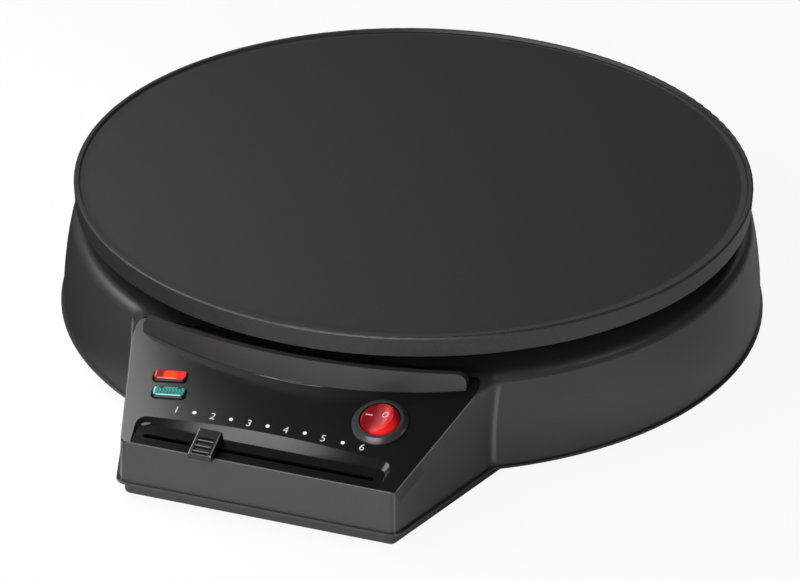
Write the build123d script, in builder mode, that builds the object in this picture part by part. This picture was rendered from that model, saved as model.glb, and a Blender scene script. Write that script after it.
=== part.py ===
from build123d import *

import os
from math import acos, cos, pi, radians, sin, tan

# Electric crepe maker: a round cast cooking plate on a moulded base, with a wedge-shaped control
# box in front.  Millimetres.  +Z is up, the control box faces -Y, and the origin is on the table,
# under the middle of the whole appliance.

# ------------------------------------------------------------------------------------------------
# Driving dimensions
# ------------------------------------------------------------------------------------------------

# Heights, one above the other, from the table up
FOOT_STAND = 2.0  # rubber feet, below the bottom cover
COVER_STRIP = 6.7  # side of the bottom cover that shows below the housing
HOUSING_HEIGHT = 42.6  # housing, from its lower edge to its shoulder
SHADOW_GAP = 9.6  # open gap between the shoulder and the plate's rim
PLATE_DEPTH = 9.1  # rim of the cooking plate

# Cooking plate, cast aluminium
COOKING_DIAMETER = 300.4  # inside the lip
LIP_WIDTH = 2.8
LIP_HEIGHT = 1.2
LIP_EDGE = 0.9  # rounding of the lip's outer edge
PLATE_THICKNESS = 4.3
RIM_THICKNESS = 3.4
RIM_DRAFT = 2.0  # degrees
UNDERSIDE_FILLET = 3.0

# Housing, one moulding
WALL = 2.5
DECK = 2.5  # annular deck under the plate
DECK_OVERLAP = 35.0  # its inner edge is this far inside the plate's rim
HOUSING_MARGIN = 0.7  # the shoulder stands this far outside the plate's rim
SKIRT_DRAFT = 7.6  # degrees, from the lower edge to the shoulder
SKIRT_BULGE = 1.3  # the round wall swells this far outside the straight line between them
SHOULDER_FILLET = 5.5
FLARE = 1.3  # the lower edge is a thin lip that stands out by this much
FLARE_FLAT = 0.9
FLARE_EDGE = 0.3
JUNCTION_FILLET = 5.0  # where the box's sides run into the round wall ...
JUNCTION_SHARE = 30.0  # ... and at most one part in so many of that wall's radius

# Control box
BOX_OVERHANG = 46.15  # front face, at the panel's edge, in front of the plate's rim
BOX_WIDTH = 121.0  # at the front face
BOX_SIDE_ANGLE = 18.3  # degrees that each side flares outwards
BOX_FRONT_HEIGHT = 19.8
BOX_DRAFT = 3.0  # degrees, of its front and sides
BOX_CORNER = 4.0
PANEL_SLOPE = 20.1  # degrees
PANEL_EDGE = 0.8  # rounding of the panel's edges

# Guard rib between the plate and the controls
RIB_RADIUS = 240.0
RIB_STANDOFF = 2.2  # the middle of its face in front of the plate's rim
RIB_THICKNESS = 3.0
RIB_WIDTH = 145.0
RIB_GAP = 4.4  # below the plate's rim
RIB_CORNER = 4.5
RIB_FOOT = 7.0  # how far its foot reaches back into the shoulder
RIB_FOOT_DROP = 1.5  # and how far the foot stays below the shoulder's top

# Trough and slot of the slider
TROUGH_MARGIN = 3.75  # floor past each end of the slot
TROUGH_LENGTH = 12.0  # floor, up its slope
TROUGH_SLOPE = 11.3  # degrees
TROUGH_CORNER = 3.5
TROUGH_CORNER_GROWTH = 3.0
TROUGH_CUT = 4.6  # height of the cutting form above the floor; over it ...
TROUGH_END_RISE = 4.9  # ... the back wall leans back this much at its ends ...
TROUGH_ARCH = 4.5  # ... and this much more in the middle ...
TROUGH_SIDE_RISE = 4.6  # ... and each side leans out this much
TROUGH_FLOOR_ARCH = 0.1
TRAY_FLOOR = 2.2  # thickness under the trough
SLOT_END_GAP = 4.6  # past the stem at each end of the travel
SLOT_WIDTH = 2.2
SLOT_PLACE = 5.7  # from the front edge, up the slope

# Scale of the slider, in heat settings
SETTINGS = 6
SETTING_PITCH = 16.5
SCALE_CENTRE = -1.5
SLIDE_MARGIN = 1.2  # travel past the first and the last setting
REST_SETTING = 2.15

# Slider knob
KNOB_WIDTH = 10.6  # at its foot
KNOB_LENGTH = 14.2
KNOB_OVERHANG = 2.9  # in front of the box's face
KNOB_HEIGHT = 3.7  # its top is parallel to the panel, this far above it
KNOB_DRAFT = 3.0  # degrees
KNOB_EDGE = 0.6
GRIP_LENGTH = 9.0
GRIP_PLACE = 2.5  # middle of the grip, up the panel from its front edge
GRIP_MARGIN = 1.5
GRIP_DEPTH = 0.8
GRIP_RIDGES = 3
GRIP_RIDGE = 0.7
GRIP_PITCH = 2.9

# Slider carriage
STEM_LENGTH = 7.6
STEM_HEIGHT = 1.9  # above the trough's floor, inside the knob
RUNNER_LENGTH = 18.0
RUNNER_WIDTH = 5.4
RUNNER_HEIGHT = 2.4
GUIDE_RIB = 1.8
GUIDE_RIB_HEIGHT = 3.0
GUIDE_RIB_LENGTH = 112.0
ARM_WIDTH = 7.0
ARM_HEIGHT = 3.0
ARM_LEVEL = 11.0  # underside, above the bottom cover's floor

# Rack and pinion
MODULE = 1.5
PRESSURE_ANGLE = 20.0
PINION_TEETH = 24
PINION_WIDTH = 7.0
PINION_HUB = 7.0  # radius
BACKLASH = 0.3
RACK_HEIGHT = 6.0
RACK_BACK = 4.5  # behind the tooth roots
RACK_MARGIN = 5.5  # rack left past the mesh at each end of the travel
RACK_LEVEL = 7.5  # underside, above the bottom cover's floor
THERMOSTAT_INSET = 59.0  # its spindle behind the front of the plate's rim

# Thermostat
SPINDLE_RADIUS = 3.0
SPINDLE_FLAT = 0.6
SPINDLE_BOTTOM = 2.0  # lower end, above the bottom cover's floor
THERMOSTAT_BODY_RADIUS = 13.0
THERMOSTAT_BODY_HEIGHT = 14.0
SENSOR_RADIUS = 10.0
SENSOR_HEIGHT = 2.6
BRACKET_LENGTH = 44.0
BRACKET_WIDTH = 14.0
BRACKET_THICKNESS = 1.2
BRACKET_HOLES = 34.0

# Rocker switch
SWITCH_X = 42.9
SWITCH_PLACE = 34.1  # up the panel from its front edge
BEZEL_RADIUS = 11.9
BEZEL_HEIGHT = 2.5
SWITCH_BARREL = 9.9
SWITCH_DEPTH = 12.0
ROCKER_RADIUS = 8.5
ROCKER_GAP = 0.35
ROCKER_TOP = 5.0  # above its pivot
ROCKER_BOTTOM = 3.4
ROCKER_PIVOT = -1.0  # height above the panel
ROCKER_TILT = 12.0  # degrees, each way
ROCKER_DISH = 26.0  # radius of the hollow in its top
PIVOT_PIN = 1.2

# Pilot lamps
LENS_LENGTH = 14.8
LENS_WIDTH = 6.0
LENS_CORNER = 1.8
LENS_TURN = 9.0  # degrees, rising towards the middle of the panel
LENS_HEIGHT = 1.2
LENS_BEVEL = 0.7
LENS_WALL = 1.2
LENS_GAP = 0.25  # round each lens, in its opening
LENS_FLANGE = 1.0
LENS_FLANGE_HEIGHT = 1.0
RED_LENS_X = -52.2
RED_LENS_PLACE = 37.7
LENS_PITCH = 8.7
LAMP_RADIUS = 2.1
LAMP_LENGTH = 9.5
HOLDER_DEPTH = 7.0
HOLDER_MARGIN = 1.6

# Heating element and its channel
ELEMENT_INSET = 55.0  # inside the plate's rim
ELEMENT_TUBE = 3.25
ELEMENT_GAP_ANGLE = 46.0  # open part of the loop, at the front
ELEMENT_BEND = 9.0
CHANNEL_WIDTH = 13.0

# Heat shield, pressed sheet
SHEET = 0.8
SHIELD_INSET = 7.0  # inside the plate's rim
SHIELD_LIP = 1.5
SHIELD_RIM_GAP = 1.4  # below the plate's rim
SHIELD_FLANGE = 4.0  # width of its flat rim
SHIELD_LEAN = 4.0  # its wall leans out by this much
SHIELD_SEAT = 0.3

# Plate fastening
FIXING_INSET = 25.0  # inside the plate's rim
FIXINGS = 3
BOSS_RADIUS = 6.0
WASHER_HEIGHT = 1.0
FIXING_SCREW = 2.0  # radius

# Bottom cover
COVER_WALL = 2.0
COVER_FLOOR = 2.0
COVER_SPIGOT = 3.9  # height inside the housing
COVER_SETBACK = 2.1  # its side under the box, inside the foot of the box's wall
COVER_STEP = 6.5  # its side under the round part, inside its own edge
COVER_LEDGE = 1.5  # underside of that edge, below the housing
COVER_EDGE = 1.8
VENTS = 16
VENT_LENGTH = 22.0
VENT_WIDTH = 3.0
VENT_INSET = 91.0  # inside the plate's rim
COVER_SCREW = 1.5  # radius
COVER_BOSS_RADIUS = 4.2
COVER_SCREW_INSET = 20.4  # inside the housing's lower edge
COVER_SCREW_ANGLES = (22, 75, 105, 158, 198, 342)  # clear of the cord inlet at 90
PILLAR_RISE = 3.0  # pillars reach this far above the spigot's height
FRONT_SCREW_X = 55.0
FRONT_SCREW_SETBACK = 15.0

# Feet
FOOT_RADIUS = 7.0
FOOT_STEM = 2.6

# Cord inlet
INLET_HEIGHT = 14.0  # above the housing's lower edge
INLET_BORE = 3.7
INLET_BARREL = 6.0
INLET_FLANGE = 8.0
INLET_FLANGE_HEIGHT = 1.6
INLET_BOSS = 9.6
INLET_DEPTH = 7.5
INLET_SINK = 0.2  # its seat is cut this far into the round wall
NUT_HEIGHT = 3.0
NUT_ACROSS_FLATS = 16.0

# Screws, tabs and small pieces
FIXING_HEAD = 3.6
FIXING_HEAD_HEIGHT = 2.4
FIXING_GRIP = 7.0
SMALL_SCREW = 1.5
SMALL_HEAD = 2.8
SMALL_HEAD_HEIGHT = 1.8
SMALL_SCREW_GRIP = 4.5
COVER_SCREW_HEAD = 3.0
COVER_SCREW_GRIP = 9.0
SCREW_RECESS = 2.6
PILLAR_RADIUS = 5.0
CUP_RADIUS = 6.0
CUP_HEIGHT = 5.4
RAIL_LENGTH = 60.0
RAIL_THICKNESS = 2.0
FRONT_FOOT_X = 38.0
FOOT_INSET = 29.4  # inside the housing's lower edge
FOOT_ANGLES = {"middle_left": 215, "middle_right": 325, "rear_left": 125, "rear_right": 55}
FOOT_TAPER = 0.6
FOOT_EDGE = 0.6
FOOT_BULB = 3.4
FOOT_BULB_HEIGHT = 1.8
ELEMENT_TAIL = 9.0
TERMINAL_PIN = 1.5
TERMINAL_PIN_LENGTH = 3.0
TAB_WIDTH = 6.3
TAB_THICKNESS = 0.8
TAB_LENGTH = 8.0
TAB_LEVEL = 1.4  # above the thermostat's underside
TAB_ROOT = 3.5
TAB_REACH = 19.5
TAB_PITCH = 5.5
SWITCH_TAB_WIDTH = 4.8
SWITCH_TAB_LENGTH = 5.5
BRACKET_BOSS = 3.6
THERMOSTAT_HEAD = 4.0
THERMOSTAT_STEP = 1.5
BUSHING_RADIUS = 5.0
BUSHING_SEAT = 6.0
BUSHING_NOSE = 8.0
PINION_HUB_HEIGHT = 3.0
CLIP_THICKNESS = 0.8
CLIP_GROOVE = 0.5
CLIP_RADIUS = 5.2
ROCKER_SAG = 0.8
STALK_RADIUS = 2.4
STALK_SCREW = 1.1
EAR_DROP = 3.5
EAR_THICKNESS = 2.4
FUSE_INSET = 78.0  # inside the plate's rim
FUSE_ANGLE = 325.0
FUSE_LENGTH = 11.0
FUSE_BODY = 2.0
FUSE_OFFSET = 6.5
CLIP_REACH = 3.6
BLOCK_INSET = 61.0  # inside the left of the plate's rim
BLOCK_BACK = 25.0  # behind the plate's axis
BLOCK_LENGTH = 30.0
BLOCK_WIDTH = 16.0
BLOCK_HEIGHT = 13.0
BLOCK_PITCH = 9.5
BLOCK_BORE = 2.2
BLOCK_SCREW = 1.6
BLOCK_EDGE = 1.5

# Clearances
SEAT = 0.3  # between separate bodies, and between mouldings
FIT = 0.1  # press fits and holes round screws, on the radius
RUNNING_FIT = 0.06  # shafts in bearings, on the radius

# ------------------------------------------------------------------------------------------------
# Levels, radii and planes that follow from them
# ------------------------------------------------------------------------------------------------
cover_z = FOOT_STAND
floor_z = cover_z + COVER_FLOOR
housing_z = cover_z + COVER_STRIP
shoulder_z = housing_z + HOUSING_HEIGHT
deck_z = shoulder_z - DECK
rim_z = shoulder_z + SHADOW_GAP
top_z = rim_z + PLATE_DEPTH
cooking_z = top_z - LIP_HEIGHT
underside_z = cooking_z - PLATE_THICKNESS

cooking_r = COOKING_DIAMETER / 2
plate_r = cooking_r + LIP_WIDTH
shoulder_r = plate_r + HOUSING_MARGIN
draft = tan(radians(SKIRT_DRAFT))
base_r = shoulder_r + HOUSING_HEIGHT * draft
wall_across = WALL / cos(radians(SKIRT_DRAFT))

deck_opening = plate_r - DECK_OVERLAP
fixing_r = plate_r - FIXING_INSET
element_r = plate_r - ELEMENT_INSET
vent_r = plate_r - VENT_INSET
cover_screw_r = base_r - COVER_SCREW_INSET
foot_r = base_r - FOOT_INSET

front_reach = plate_r + BOX_OVERHANG
box_spread = BOX_FRONT_HEIGHT * tan(radians(BOX_DRAFT))
axis_y = (front_reach + max(KNOB_OVERHANG, box_spread + FLARE) - base_r - FLARE) / 2
front_y = axis_y - front_reach
panel_z = housing_z + BOX_FRONT_HEIGHT

plate_axis = Axis((0, axis_y, 0), (0, 0, 1))
section = Plane(origin=(0, axis_y, 0), x_dir=(1, 0, 0), z_dir=(0, -1, 0))

slope = radians(PANEL_SLOPE)
tray_slope = radians(TROUGH_SLOPE)
panel = Plane(origin=(0, front_y, panel_z), x_dir=(1, 0, 0), z_dir=(0, -sin(slope), cos(slope)))
tray = Plane(origin=(0, front_y, panel_z), x_dir=(1, 0, 0), z_dir=(0, -sin(tray_slope), cos(tray_slope)))

first_x = SCALE_CENTRE - SETTING_PITCH * (SETTINGS - 1) / 2
knob_x = first_x + SETTING_PITCH * (REST_SETTING - 1)
slide_back = knob_x - first_x + SLIDE_MARGIN
slide_forward = first_x + SETTING_PITCH * (SETTINGS - 1) - knob_x + SLIDE_MARGIN
slot_length = slide_back + slide_forward + STEM_LENGTH + 2 * SLOT_END_GAP
trough_width = slot_length + 2 * TROUGH_MARGIN

pinion_r = MODULE * PINION_TEETH / 2
tooth_pitch = pi * MODULE
spindle_y = axis_y - plate_r + THERMOSTAT_INSET
pitch_line_y = spindle_y - pinion_r
rack_z = floor_z + RACK_LEVEL
arm_z = floor_z + ARM_LEVEL
pinion_z = rack_z + (RACK_HEIGHT - PINION_WIDTH) / 2
root_depth = 1.25 * MODULE


def level(z):
    """Horizontal plane at height z, centred on the plate's axis."""
    return Plane((0, axis_y, z))


def upright(x, y, z):
    """Horizontal plane at height z, centred on a point."""
    return Plane((x, y, z))


def round_point(radius, angle):
    """Point in plan at a radius and an angle from the plate's axis."""
    return (radius * cos(radians(angle)), axis_y + radius * sin(radians(angle)))


def skirt_r(z):
    """Outer radius of the housing's round wall at height z."""
    rise = (z - housing_z) / HOUSING_HEIGHT
    return base_r - rise * HOUSING_HEIGHT * draft + 4 * SKIRT_BULGE * rise * (1 - rise)


def box_points(inset):
    """Corners of the control box in plan, with its front and sides moved in by inset."""
    side = radians(BOX_SIDE_ANGLE)
    front = front_y + inset
    rear = axis_y - deck_opening
    half_front = BOX_WIDTH / 2 + inset * tan(side) - inset / cos(side)
    half_rear = half_front + (rear - front) * tan(side)
    return [(-half_rear, rear), (-half_front, front), (half_front, front), (half_rear, rear)]


def box_face(inset, z):
    """Plan of the control box at its foot, moved in by inset, as a sketch at height z."""
    with BuildSketch(Plane.XY.offset(z)) as plan:
        with BuildLine():
            Polyline(*box_points(inset - box_spread), close=True)
        make_face()
        corner = max(BOX_CORNER + box_spread - inset, COVER_WALL / 2)
        fillet(plan.vertices().group_by(Axis.Y)[0], corner)
    return plan.sketch


def on_panel(x, place, lift=0.0):
    """Plane parallel to the panel, at a point of it."""
    return Plane(origin=panel.from_local_coords((x, place, lift)), x_dir=(1, 0, 0), z_dir=panel.z_dir)


def on_lens(x, place, lift=0.0):
    """Plane parallel to the panel, at a point of it, turned the way the lenses lie."""
    turn = radians(LENS_TURN)
    along = panel.x_dir * cos(turn) + panel.y_dir * sin(turn)
    return Plane(origin=panel.from_local_coords((x, place, lift)), x_dir=along, z_dir=panel.z_dir)


lens_lean = LENS_PITCH * cos(slope) * tan(radians(BOX_SIDE_ANGLE))
lens_places = {
    "red": (RED_LENS_X, RED_LENS_PLACE),
    "green": (RED_LENS_X + lens_lean, RED_LENS_PLACE - LENS_PITCH),
}
switch_plane = on_panel(SWITCH_X, SWITCH_PLACE)

inlet_z = housing_z + INLET_HEIGHT
inlet_face_y = axis_y + skirt_r(inlet_z + INLET_FLANGE + SEAT) - INLET_SINK
inlet_grip = INLET_DEPTH - NUT_HEIGHT
inlet_plane = Plane(origin=(0, inlet_face_y, inlet_z), x_dir=(1, 0, 0), z_dir=(0, 1, 0))

# ------------------------------------------------------------------------------------------------
# Upper housing
# ------------------------------------------------------------------------------------------------

# Wedge-shaped box, cut to the slope of its panel
with BuildPart() as box_form:
    add(box_face(0, housing_z))
    extrude(amount=HOUSING_HEIGHT, taper=BOX_DRAFT)
    split(bisect_by=panel, keep=Keep.BOTTOM)

# Whole outer form: the round base and the box, blended where they meet, and their thin lower lip
skirt_middle = (housing_z + shoulder_z) / 2
with BuildPart() as outer_form:
    with BuildSketch(section):
        with BuildLine():
            ThreePointArc((base_r, housing_z), (skirt_r(skirt_middle), skirt_middle), (shoulder_r, shoulder_z))
            Polyline((shoulder_r, shoulder_z), (0, shoulder_z), (0, housing_z), (base_r, housing_z))
        make_face()
    revolve(axis=plate_axis)
    add(box_form.part)
    meeting = outer_form.edges().filter_by(GeomType.BSPLINE)
    junction = meeting.filter_by(lambda e: abs((e @ 1 - e @ 0).Z) > BOX_FRONT_HEIGHT)
    fillet(junction, min(JUNCTION_FILLET, base_r / JUNCTION_SHARE))
    shoulder = outer_form.edges().filter_by(GeomType.CIRCLE).sort_by(SortBy.LENGTH)
    fillet(shoulder.filter_by(lambda e: abs(e.center().Z - shoulder_z) < 0.01)[-1], SHOULDER_FILLET)

with BuildPart() as lip_form:
    with BuildSketch(level(housing_z)):
        Circle(base_r + FLARE)
    extrude(amount=FLARE_FLAT)
    add(box_face(-FLARE, housing_z))
    extrude(amount=FLARE_FLAT)
    chamfer(lip_form.faces().sort_by(Axis.Z)[-1].edges(), FLARE_EDGE)

# Hollow inside the walls; the tray under the trough and the boss of the cord inlet stay solid
with BuildPart() as hollow_form:
    add(box_face(wall_across, housing_z))
    extrude(amount=deck_z - housing_z, taper=BOX_DRAFT)
    split(bisect_by=panel.offset(-WALL), keep=Keep.BOTTOM)
    with BuildSketch(tray.offset(-TRAY_FLOOR)):
        with Locations((SCALE_CENTRE, TROUGH_LENGTH / 2 + WALL)):
            Rectangle(trough_width + 4 * WALL, TROUGH_LENGTH + 4 * WALL)
    extrude(amount=HOUSING_HEIGHT, mode=Mode.SUBTRACT)
    hollow_r = skirt_r(skirt_middle) - wall_across
    with BuildSketch(section):
        with BuildLine():
            ThreePointArc(
                (base_r - wall_across, housing_z),
                (hollow_r, skirt_middle),
                (skirt_r(deck_z) - wall_across, deck_z),
            )
            Polyline(
                (skirt_r(deck_z) - wall_across, deck_z),
                (0, deck_z),
                (0, housing_z),
                (base_r - wall_across, housing_z),
            )
        make_face()
    revolve(axis=plate_axis)
    with BuildSketch(inlet_plane.offset(-inlet_grip)):
        Circle(INLET_BOSS)
    extrude(amount=inlet_grip + INLET_FLANGE, mode=Mode.SUBTRACT)

# Cutting form of the trough: a straight floor edge, and a back wall that leans out to an arch
with BuildPart() as trough_form:
    trough_sections = []
    for height, lean in ((0, 0), (TROUGH_CUT, 1)):
        left = SCALE_CENTRE - trough_width / 2 - TROUGH_SIDE_RISE * lean
        right = SCALE_CENTRE + trough_width / 2 + TROUGH_SIDE_RISE * lean
        end_place = TROUGH_LENGTH + TROUGH_END_RISE * lean
        middle_place = end_place + TROUGH_FLOOR_ARCH + TROUGH_ARCH * lean
        front = -2 * WALL
        with BuildSketch(tray.offset(height)) as trough_section:
            with BuildLine():
                ThreePointArc((left, end_place), (SCALE_CENTRE, middle_place), (right, end_place))
                Polyline((left, end_place), (left, front), (right, front), (right, end_place))
            make_face()
            corner = TROUGH_CORNER + TROUGH_CORNER_GROWTH * lean
            fillet(trough_section.vertices().sort_by(Axis.Y)[2:], corner)
        trough_sections.append(trough_section.sketch)
    loft(sections=[s.faces()[0] for s in trough_sections], ruled=True)

# Guard rib, standing on the panel in front of the plate
rib_face_y = axis_y - plate_r - RIB_STANDOFF
rib_top_z = rim_z - RIB_GAP
with BuildPart() as rib_form:
    with BuildSketch(Plane.XY.offset(panel_z)):
        with Locations((0, rib_face_y + RIB_RADIUS)):
            Circle(RIB_RADIUS)
            Circle(RIB_RADIUS - RIB_THICKNESS, mode=Mode.SUBTRACT)
        with Locations((0, rib_face_y + RIB_RADIUS / 4)):
            Rectangle(RIB_WIDTH, RIB_RADIUS, mode=Mode.INTERSECT)
    extrude(amount=rib_top_z - panel_z)
    split(bisect_by=Plane((0, axis_y, 0), z_dir=(0, 1, 0)), keep=Keep.BOTTOM)
    end_edges = rib_form.edges().filter_by(Axis.Y).group_by(Axis.Z)[-1]
    fillet(end_edges, RIB_CORNER)
    # its foot fills the narrow groove between it and the shoulder
    with BuildSketch(Plane.XY.offset(panel_z)):
        with Locations((0, rib_face_y + RIB_RADIUS)):
            Circle(RIB_RADIUS - RIB_THICKNESS / 2)
            Circle(RIB_RADIUS - RIB_FOOT, mode=Mode.SUBTRACT)
        with Locations((0, rib_face_y + RIB_RADIUS / 4)):
            Rectangle(RIB_WIDTH - RIB_THICKNESS, RIB_RADIUS, mode=Mode.INTERSECT)
    extrude(amount=shoulder_z - RIB_FOOT_DROP - panel_z)
    split(bisect_by=Plane((0, axis_y, 0), z_dir=(0, 1, 0)), keep=Keep.BOTTOM)
    split(bisect_by=panel.offset(-WALL / 2), keep=Keep.TOP)

# Posts that hang from the panel and the deck and take the screws of the bottom cover
post_z = floor_z + COVER_SPIGOT + PILLAR_RISE
front_posts = [(x, front_y + FRONT_SCREW_SETBACK) for x in (-FRONT_SCREW_X, FRONT_SCREW_X)]
deck_posts = [round_point(cover_screw_r, angle) for angle in COVER_SCREW_ANGLES]
with BuildPart() as post_form:
    with BuildSketch(Plane.XY.offset(post_z)):
        with Locations(*front_posts):
            Circle(COVER_BOSS_RADIUS)
    extrude(amount=shoulder_z - post_z)
    split(bisect_by=panel.offset(-WALL / 2), keep=Keep.BOTTOM)
    with BuildSketch(Plane.XY.offset(post_z)):
        with Locations(*deck_posts):
            Circle(COVER_BOSS_RADIUS)
    extrude(amount=shoulder_z - DECK / 2 - post_z)

# Stalks under the panel that carry the lamp holder
lens_middle = (
    sum(place[0] for place in lens_places.values()) / 2,
    sum(place[1] for place in lens_places.values()) / 2,
)
holder_length = LENS_LENGTH + lens_lean + 2 * HOLDER_MARGIN
holder_top = -WALL - LENS_FLANGE_HEIGHT
stalk_span = holder_length + 5.0


with BuildPart() as upper_housing:
    add(outer_form.part)
    # the panel's edges, eased before anything else is cut
    panel_face = upper_housing.faces().filter_by(lambda f: abs(f.normal_at().dot(panel.z_dir)) > 0.999)
    fillet(panel_face.edges().filter_by(lambda e: e.center().Y < axis_y - deck_opening - 5
                                        and e.center().Z < shoulder_z - 0.5), PANEL_EDGE)
    add(lip_form.part)
    add(hollow_form.part, mode=Mode.SUBTRACT)
    add(trough_form.part, mode=Mode.SUBTRACT)
    add(rib_form.part)
    add(post_form.part)
    # deck: opening for the heater, pads and holes at the plate's fixings
    with BuildSketch(level(deck_z - 1)):
        Circle(deck_opening)
    extrude(amount=DECK + 2, mode=Mode.SUBTRACT)
    with BuildSketch(level(shoulder_z)):
        with PolarLocations(fixing_r, FIXINGS, start_angle=90):
            Circle(BOSS_RADIUS)
    extrude(amount=SHIELD_SEAT)
    with BuildSketch(level(deck_z - 1)):
        with PolarLocations(fixing_r, FIXINGS, start_angle=90):
            Circle(FIXING_SCREW + SEAT)
    extrude(amount=DECK + SHIELD_SEAT + 2, mode=Mode.SUBTRACT)
    # slot of the slider, and the ribs under the trough that guide its runner
    with BuildSketch(tray.offset(1)):
        with Locations((SCALE_CENTRE, SLOT_PLACE)):
            SlotOverall(slot_length, SLOT_WIDTH)
    extrude(amount=-TRAY_FLOOR - 2, mode=Mode.SUBTRACT)
    rib_offset = RUNNER_WIDTH / 2 + SEAT + GUIDE_RIB / 2
    with BuildSketch(tray.offset(-TRAY_FLOOR - GUIDE_RIB_HEIGHT)):
        with Locations((SCALE_CENTRE, SLOT_PLACE - rib_offset), (SCALE_CENTRE, SLOT_PLACE + rib_offset)):
            Rectangle(GUIDE_RIB_LENGTH, GUIDE_RIB)
    extrude(amount=GUIDE_RIB_HEIGHT)
    # openings of the panel
    for x, place in lens_places.values():
        with BuildSketch(on_lens(x, place, 1)):
            RectangleRounded(LENS_LENGTH + 2 * LENS_GAP, LENS_WIDTH + 2 * LENS_GAP, LENS_CORNER + LENS_GAP)
        extrude(amount=-WALL - 2, mode=Mode.SUBTRACT)
    with BuildSketch(switch_plane.offset(1)):
        Circle(SWITCH_BARREL + FIT)
    extrude(amount=-WALL - 2, mode=Mode.SUBTRACT)
    # stalks of the lamp holder
    with BuildSketch(on_lens(*lens_middle, holder_top - EAR_DROP)):
        with Locations((-stalk_span / 2, 0), (stalk_span / 2, 0)):
            Circle(STALK_RADIUS)
    extrude(amount=EAR_DROP - holder_top - WALL / 2)
    with BuildSketch(on_lens(*lens_middle, holder_top - EAR_DROP)):
        with Locations((-stalk_span / 2, 0), (stalk_span / 2, 0)):
            Circle(STALK_SCREW)
    extrude(amount=EAR_DROP, mode=Mode.SUBTRACT)
    # screw holes in the posts
    with BuildSketch(Plane.XY.offset(post_z)):
        with Locations(*front_posts, *deck_posts):
            Circle(COVER_SCREW + FIT)
    extrude(amount=COVER_SCREW_GRIP + 1, mode=Mode.SUBTRACT)
    # seat and hole of the cord bushing
    with BuildSketch(inlet_plane):
        Circle(INLET_FLANGE + SEAT)
    extrude(amount=INLET_FLANGE, mode=Mode.SUBTRACT)
    with BuildSketch(inlet_plane.offset(1)):
        Circle(INLET_BARREL + FIT)
    extrude(amount=-inlet_grip - 2, mode=Mode.SUBTRACT)

# ------------------------------------------------------------------------------------------------
# Bottom cover, its screws and the feet
# ------------------------------------------------------------------------------------------------
spigot_z = housing_z + COVER_SPIGOT
cover_r = skirt_r(spigot_z) - wall_across - SEAT
cover_inset = wall_across + SEAT
rack_back_y = pitch_line_y - root_depth - RACK_BACK
foot_places = {
    "front_left": (-FRONT_FOOT_X, front_y + FRONT_SCREW_SETBACK),
    "front_right": (FRONT_FOOT_X, front_y + FRONT_SCREW_SETBACK),
}
for name, angle in FOOT_ANGLES.items():
    foot_places[name] = round_point(foot_r, angle)

pan_r = cover_r - COVER_STEP
ledge_z = housing_z - COVER_LEDGE
with BuildPart() as bottom_cover:
    # pan below the housing, then its edge, which goes up inside the housing's walls
    with BuildSketch(level(cover_z)):
        Circle(pan_r)
    extrude(amount=housing_z - SEAT - cover_z)
    add(box_face(COVER_SETBACK, cover_z))
    extrude(amount=housing_z - SEAT - cover_z)
    fillet(bottom_cover.faces().sort_by(Axis.Z)[0].edges(), COVER_EDGE)
    with BuildSketch(level(ledge_z)):
        Circle(cover_r)
    extrude(amount=spigot_z - ledge_z)
    add(box_face(cover_inset, ledge_z))
    extrude(amount=spigot_z - ledge_z)
    with BuildSketch(level(floor_z)):
        Circle(pan_r - COVER_WALL)
    extrude(amount=spigot_z, mode=Mode.SUBTRACT)
    with BuildSketch(level(ledge_z + COVER_FLOOR)):
        Circle(cover_r - COVER_WALL)
    extrude(amount=spigot_z, mode=Mode.SUBTRACT)
    add(box_face(cover_inset + COVER_WALL, floor_z))
    extrude(amount=spigot_z, mode=Mode.SUBTRACT)
    # pillars that meet the posts of the housing, with recesses for the screw heads
    with BuildSketch(Plane.XY.offset(cover_z + COVER_FLOOR / 2)):
        with Locations(*front_posts, *deck_posts):
            Circle(PILLAR_RADIUS)
    extrude(amount=post_z - cover_z - COVER_FLOOR / 2)
    with BuildSketch(Plane.XY.offset(cover_z)):
        with Locations(*front_posts, *deck_posts):
            Circle(COVER_SCREW_HEAD + SEAT)
    extrude(amount=SCREW_RECESS, mode=Mode.SUBTRACT)
    with BuildSketch(Plane.XY.offset(cover_z)):
        with Locations(*front_posts, *deck_posts):
            Circle(COVER_SCREW + SEAT)
    extrude(amount=spigot_z, mode=Mode.SUBTRACT)
    # cup that steadies the lower end of the spindle
    with BuildSketch(upright(0, spindle_y, floor_z - COVER_FLOOR / 2)):
        Circle(CUP_RADIUS)
    extrude(amount=CUP_HEIGHT + COVER_FLOOR / 2)
    with BuildSketch(upright(0, spindle_y, floor_z)):
        Circle(SPINDLE_RADIUS + RUNNING_FIT)
    extrude(amount=CUP_HEIGHT, mode=Mode.SUBTRACT)
    # channel of the rack: a wall behind it and a ledge under it
    with BuildSketch(Plane.XY.offset(floor_z - COVER_FLOOR / 2)):
        with Locations((0, rack_back_y - SEAT - RAIL_THICKNESS / 2)):
            Rectangle(RAIL_LENGTH, RAIL_THICKNESS)
    extrude(amount=arm_z - SEAT - floor_z + COVER_FLOOR / 2)
    with BuildSketch(Plane.XY.offset(floor_z - COVER_FLOOR / 2)):
        with Locations((0, rack_back_y + RAIL_THICKNESS / 2 + SEAT)):
            Rectangle(RAIL_LENGTH, RAIL_THICKNESS)
    extrude(amount=rack_z - SEAT - floor_z + COVER_FLOOR / 2)
    # holes for the feet, and the ring of cooling slots
    with BuildSketch(Plane.XY.offset(cover_z)):
        with Locations(*foot_places.values()):
            Circle(FOOT_STEM + FIT)
    extrude(amount=COVER_FLOOR, mode=Mode.SUBTRACT)
    with BuildSketch(level(cover_z)):
        with PolarLocations(vent_r, VENTS):
            SlotOverall(VENT_LENGTH, VENT_WIDTH)
    extrude(amount=COVER_FLOOR, mode=Mode.SUBTRACT)


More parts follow.
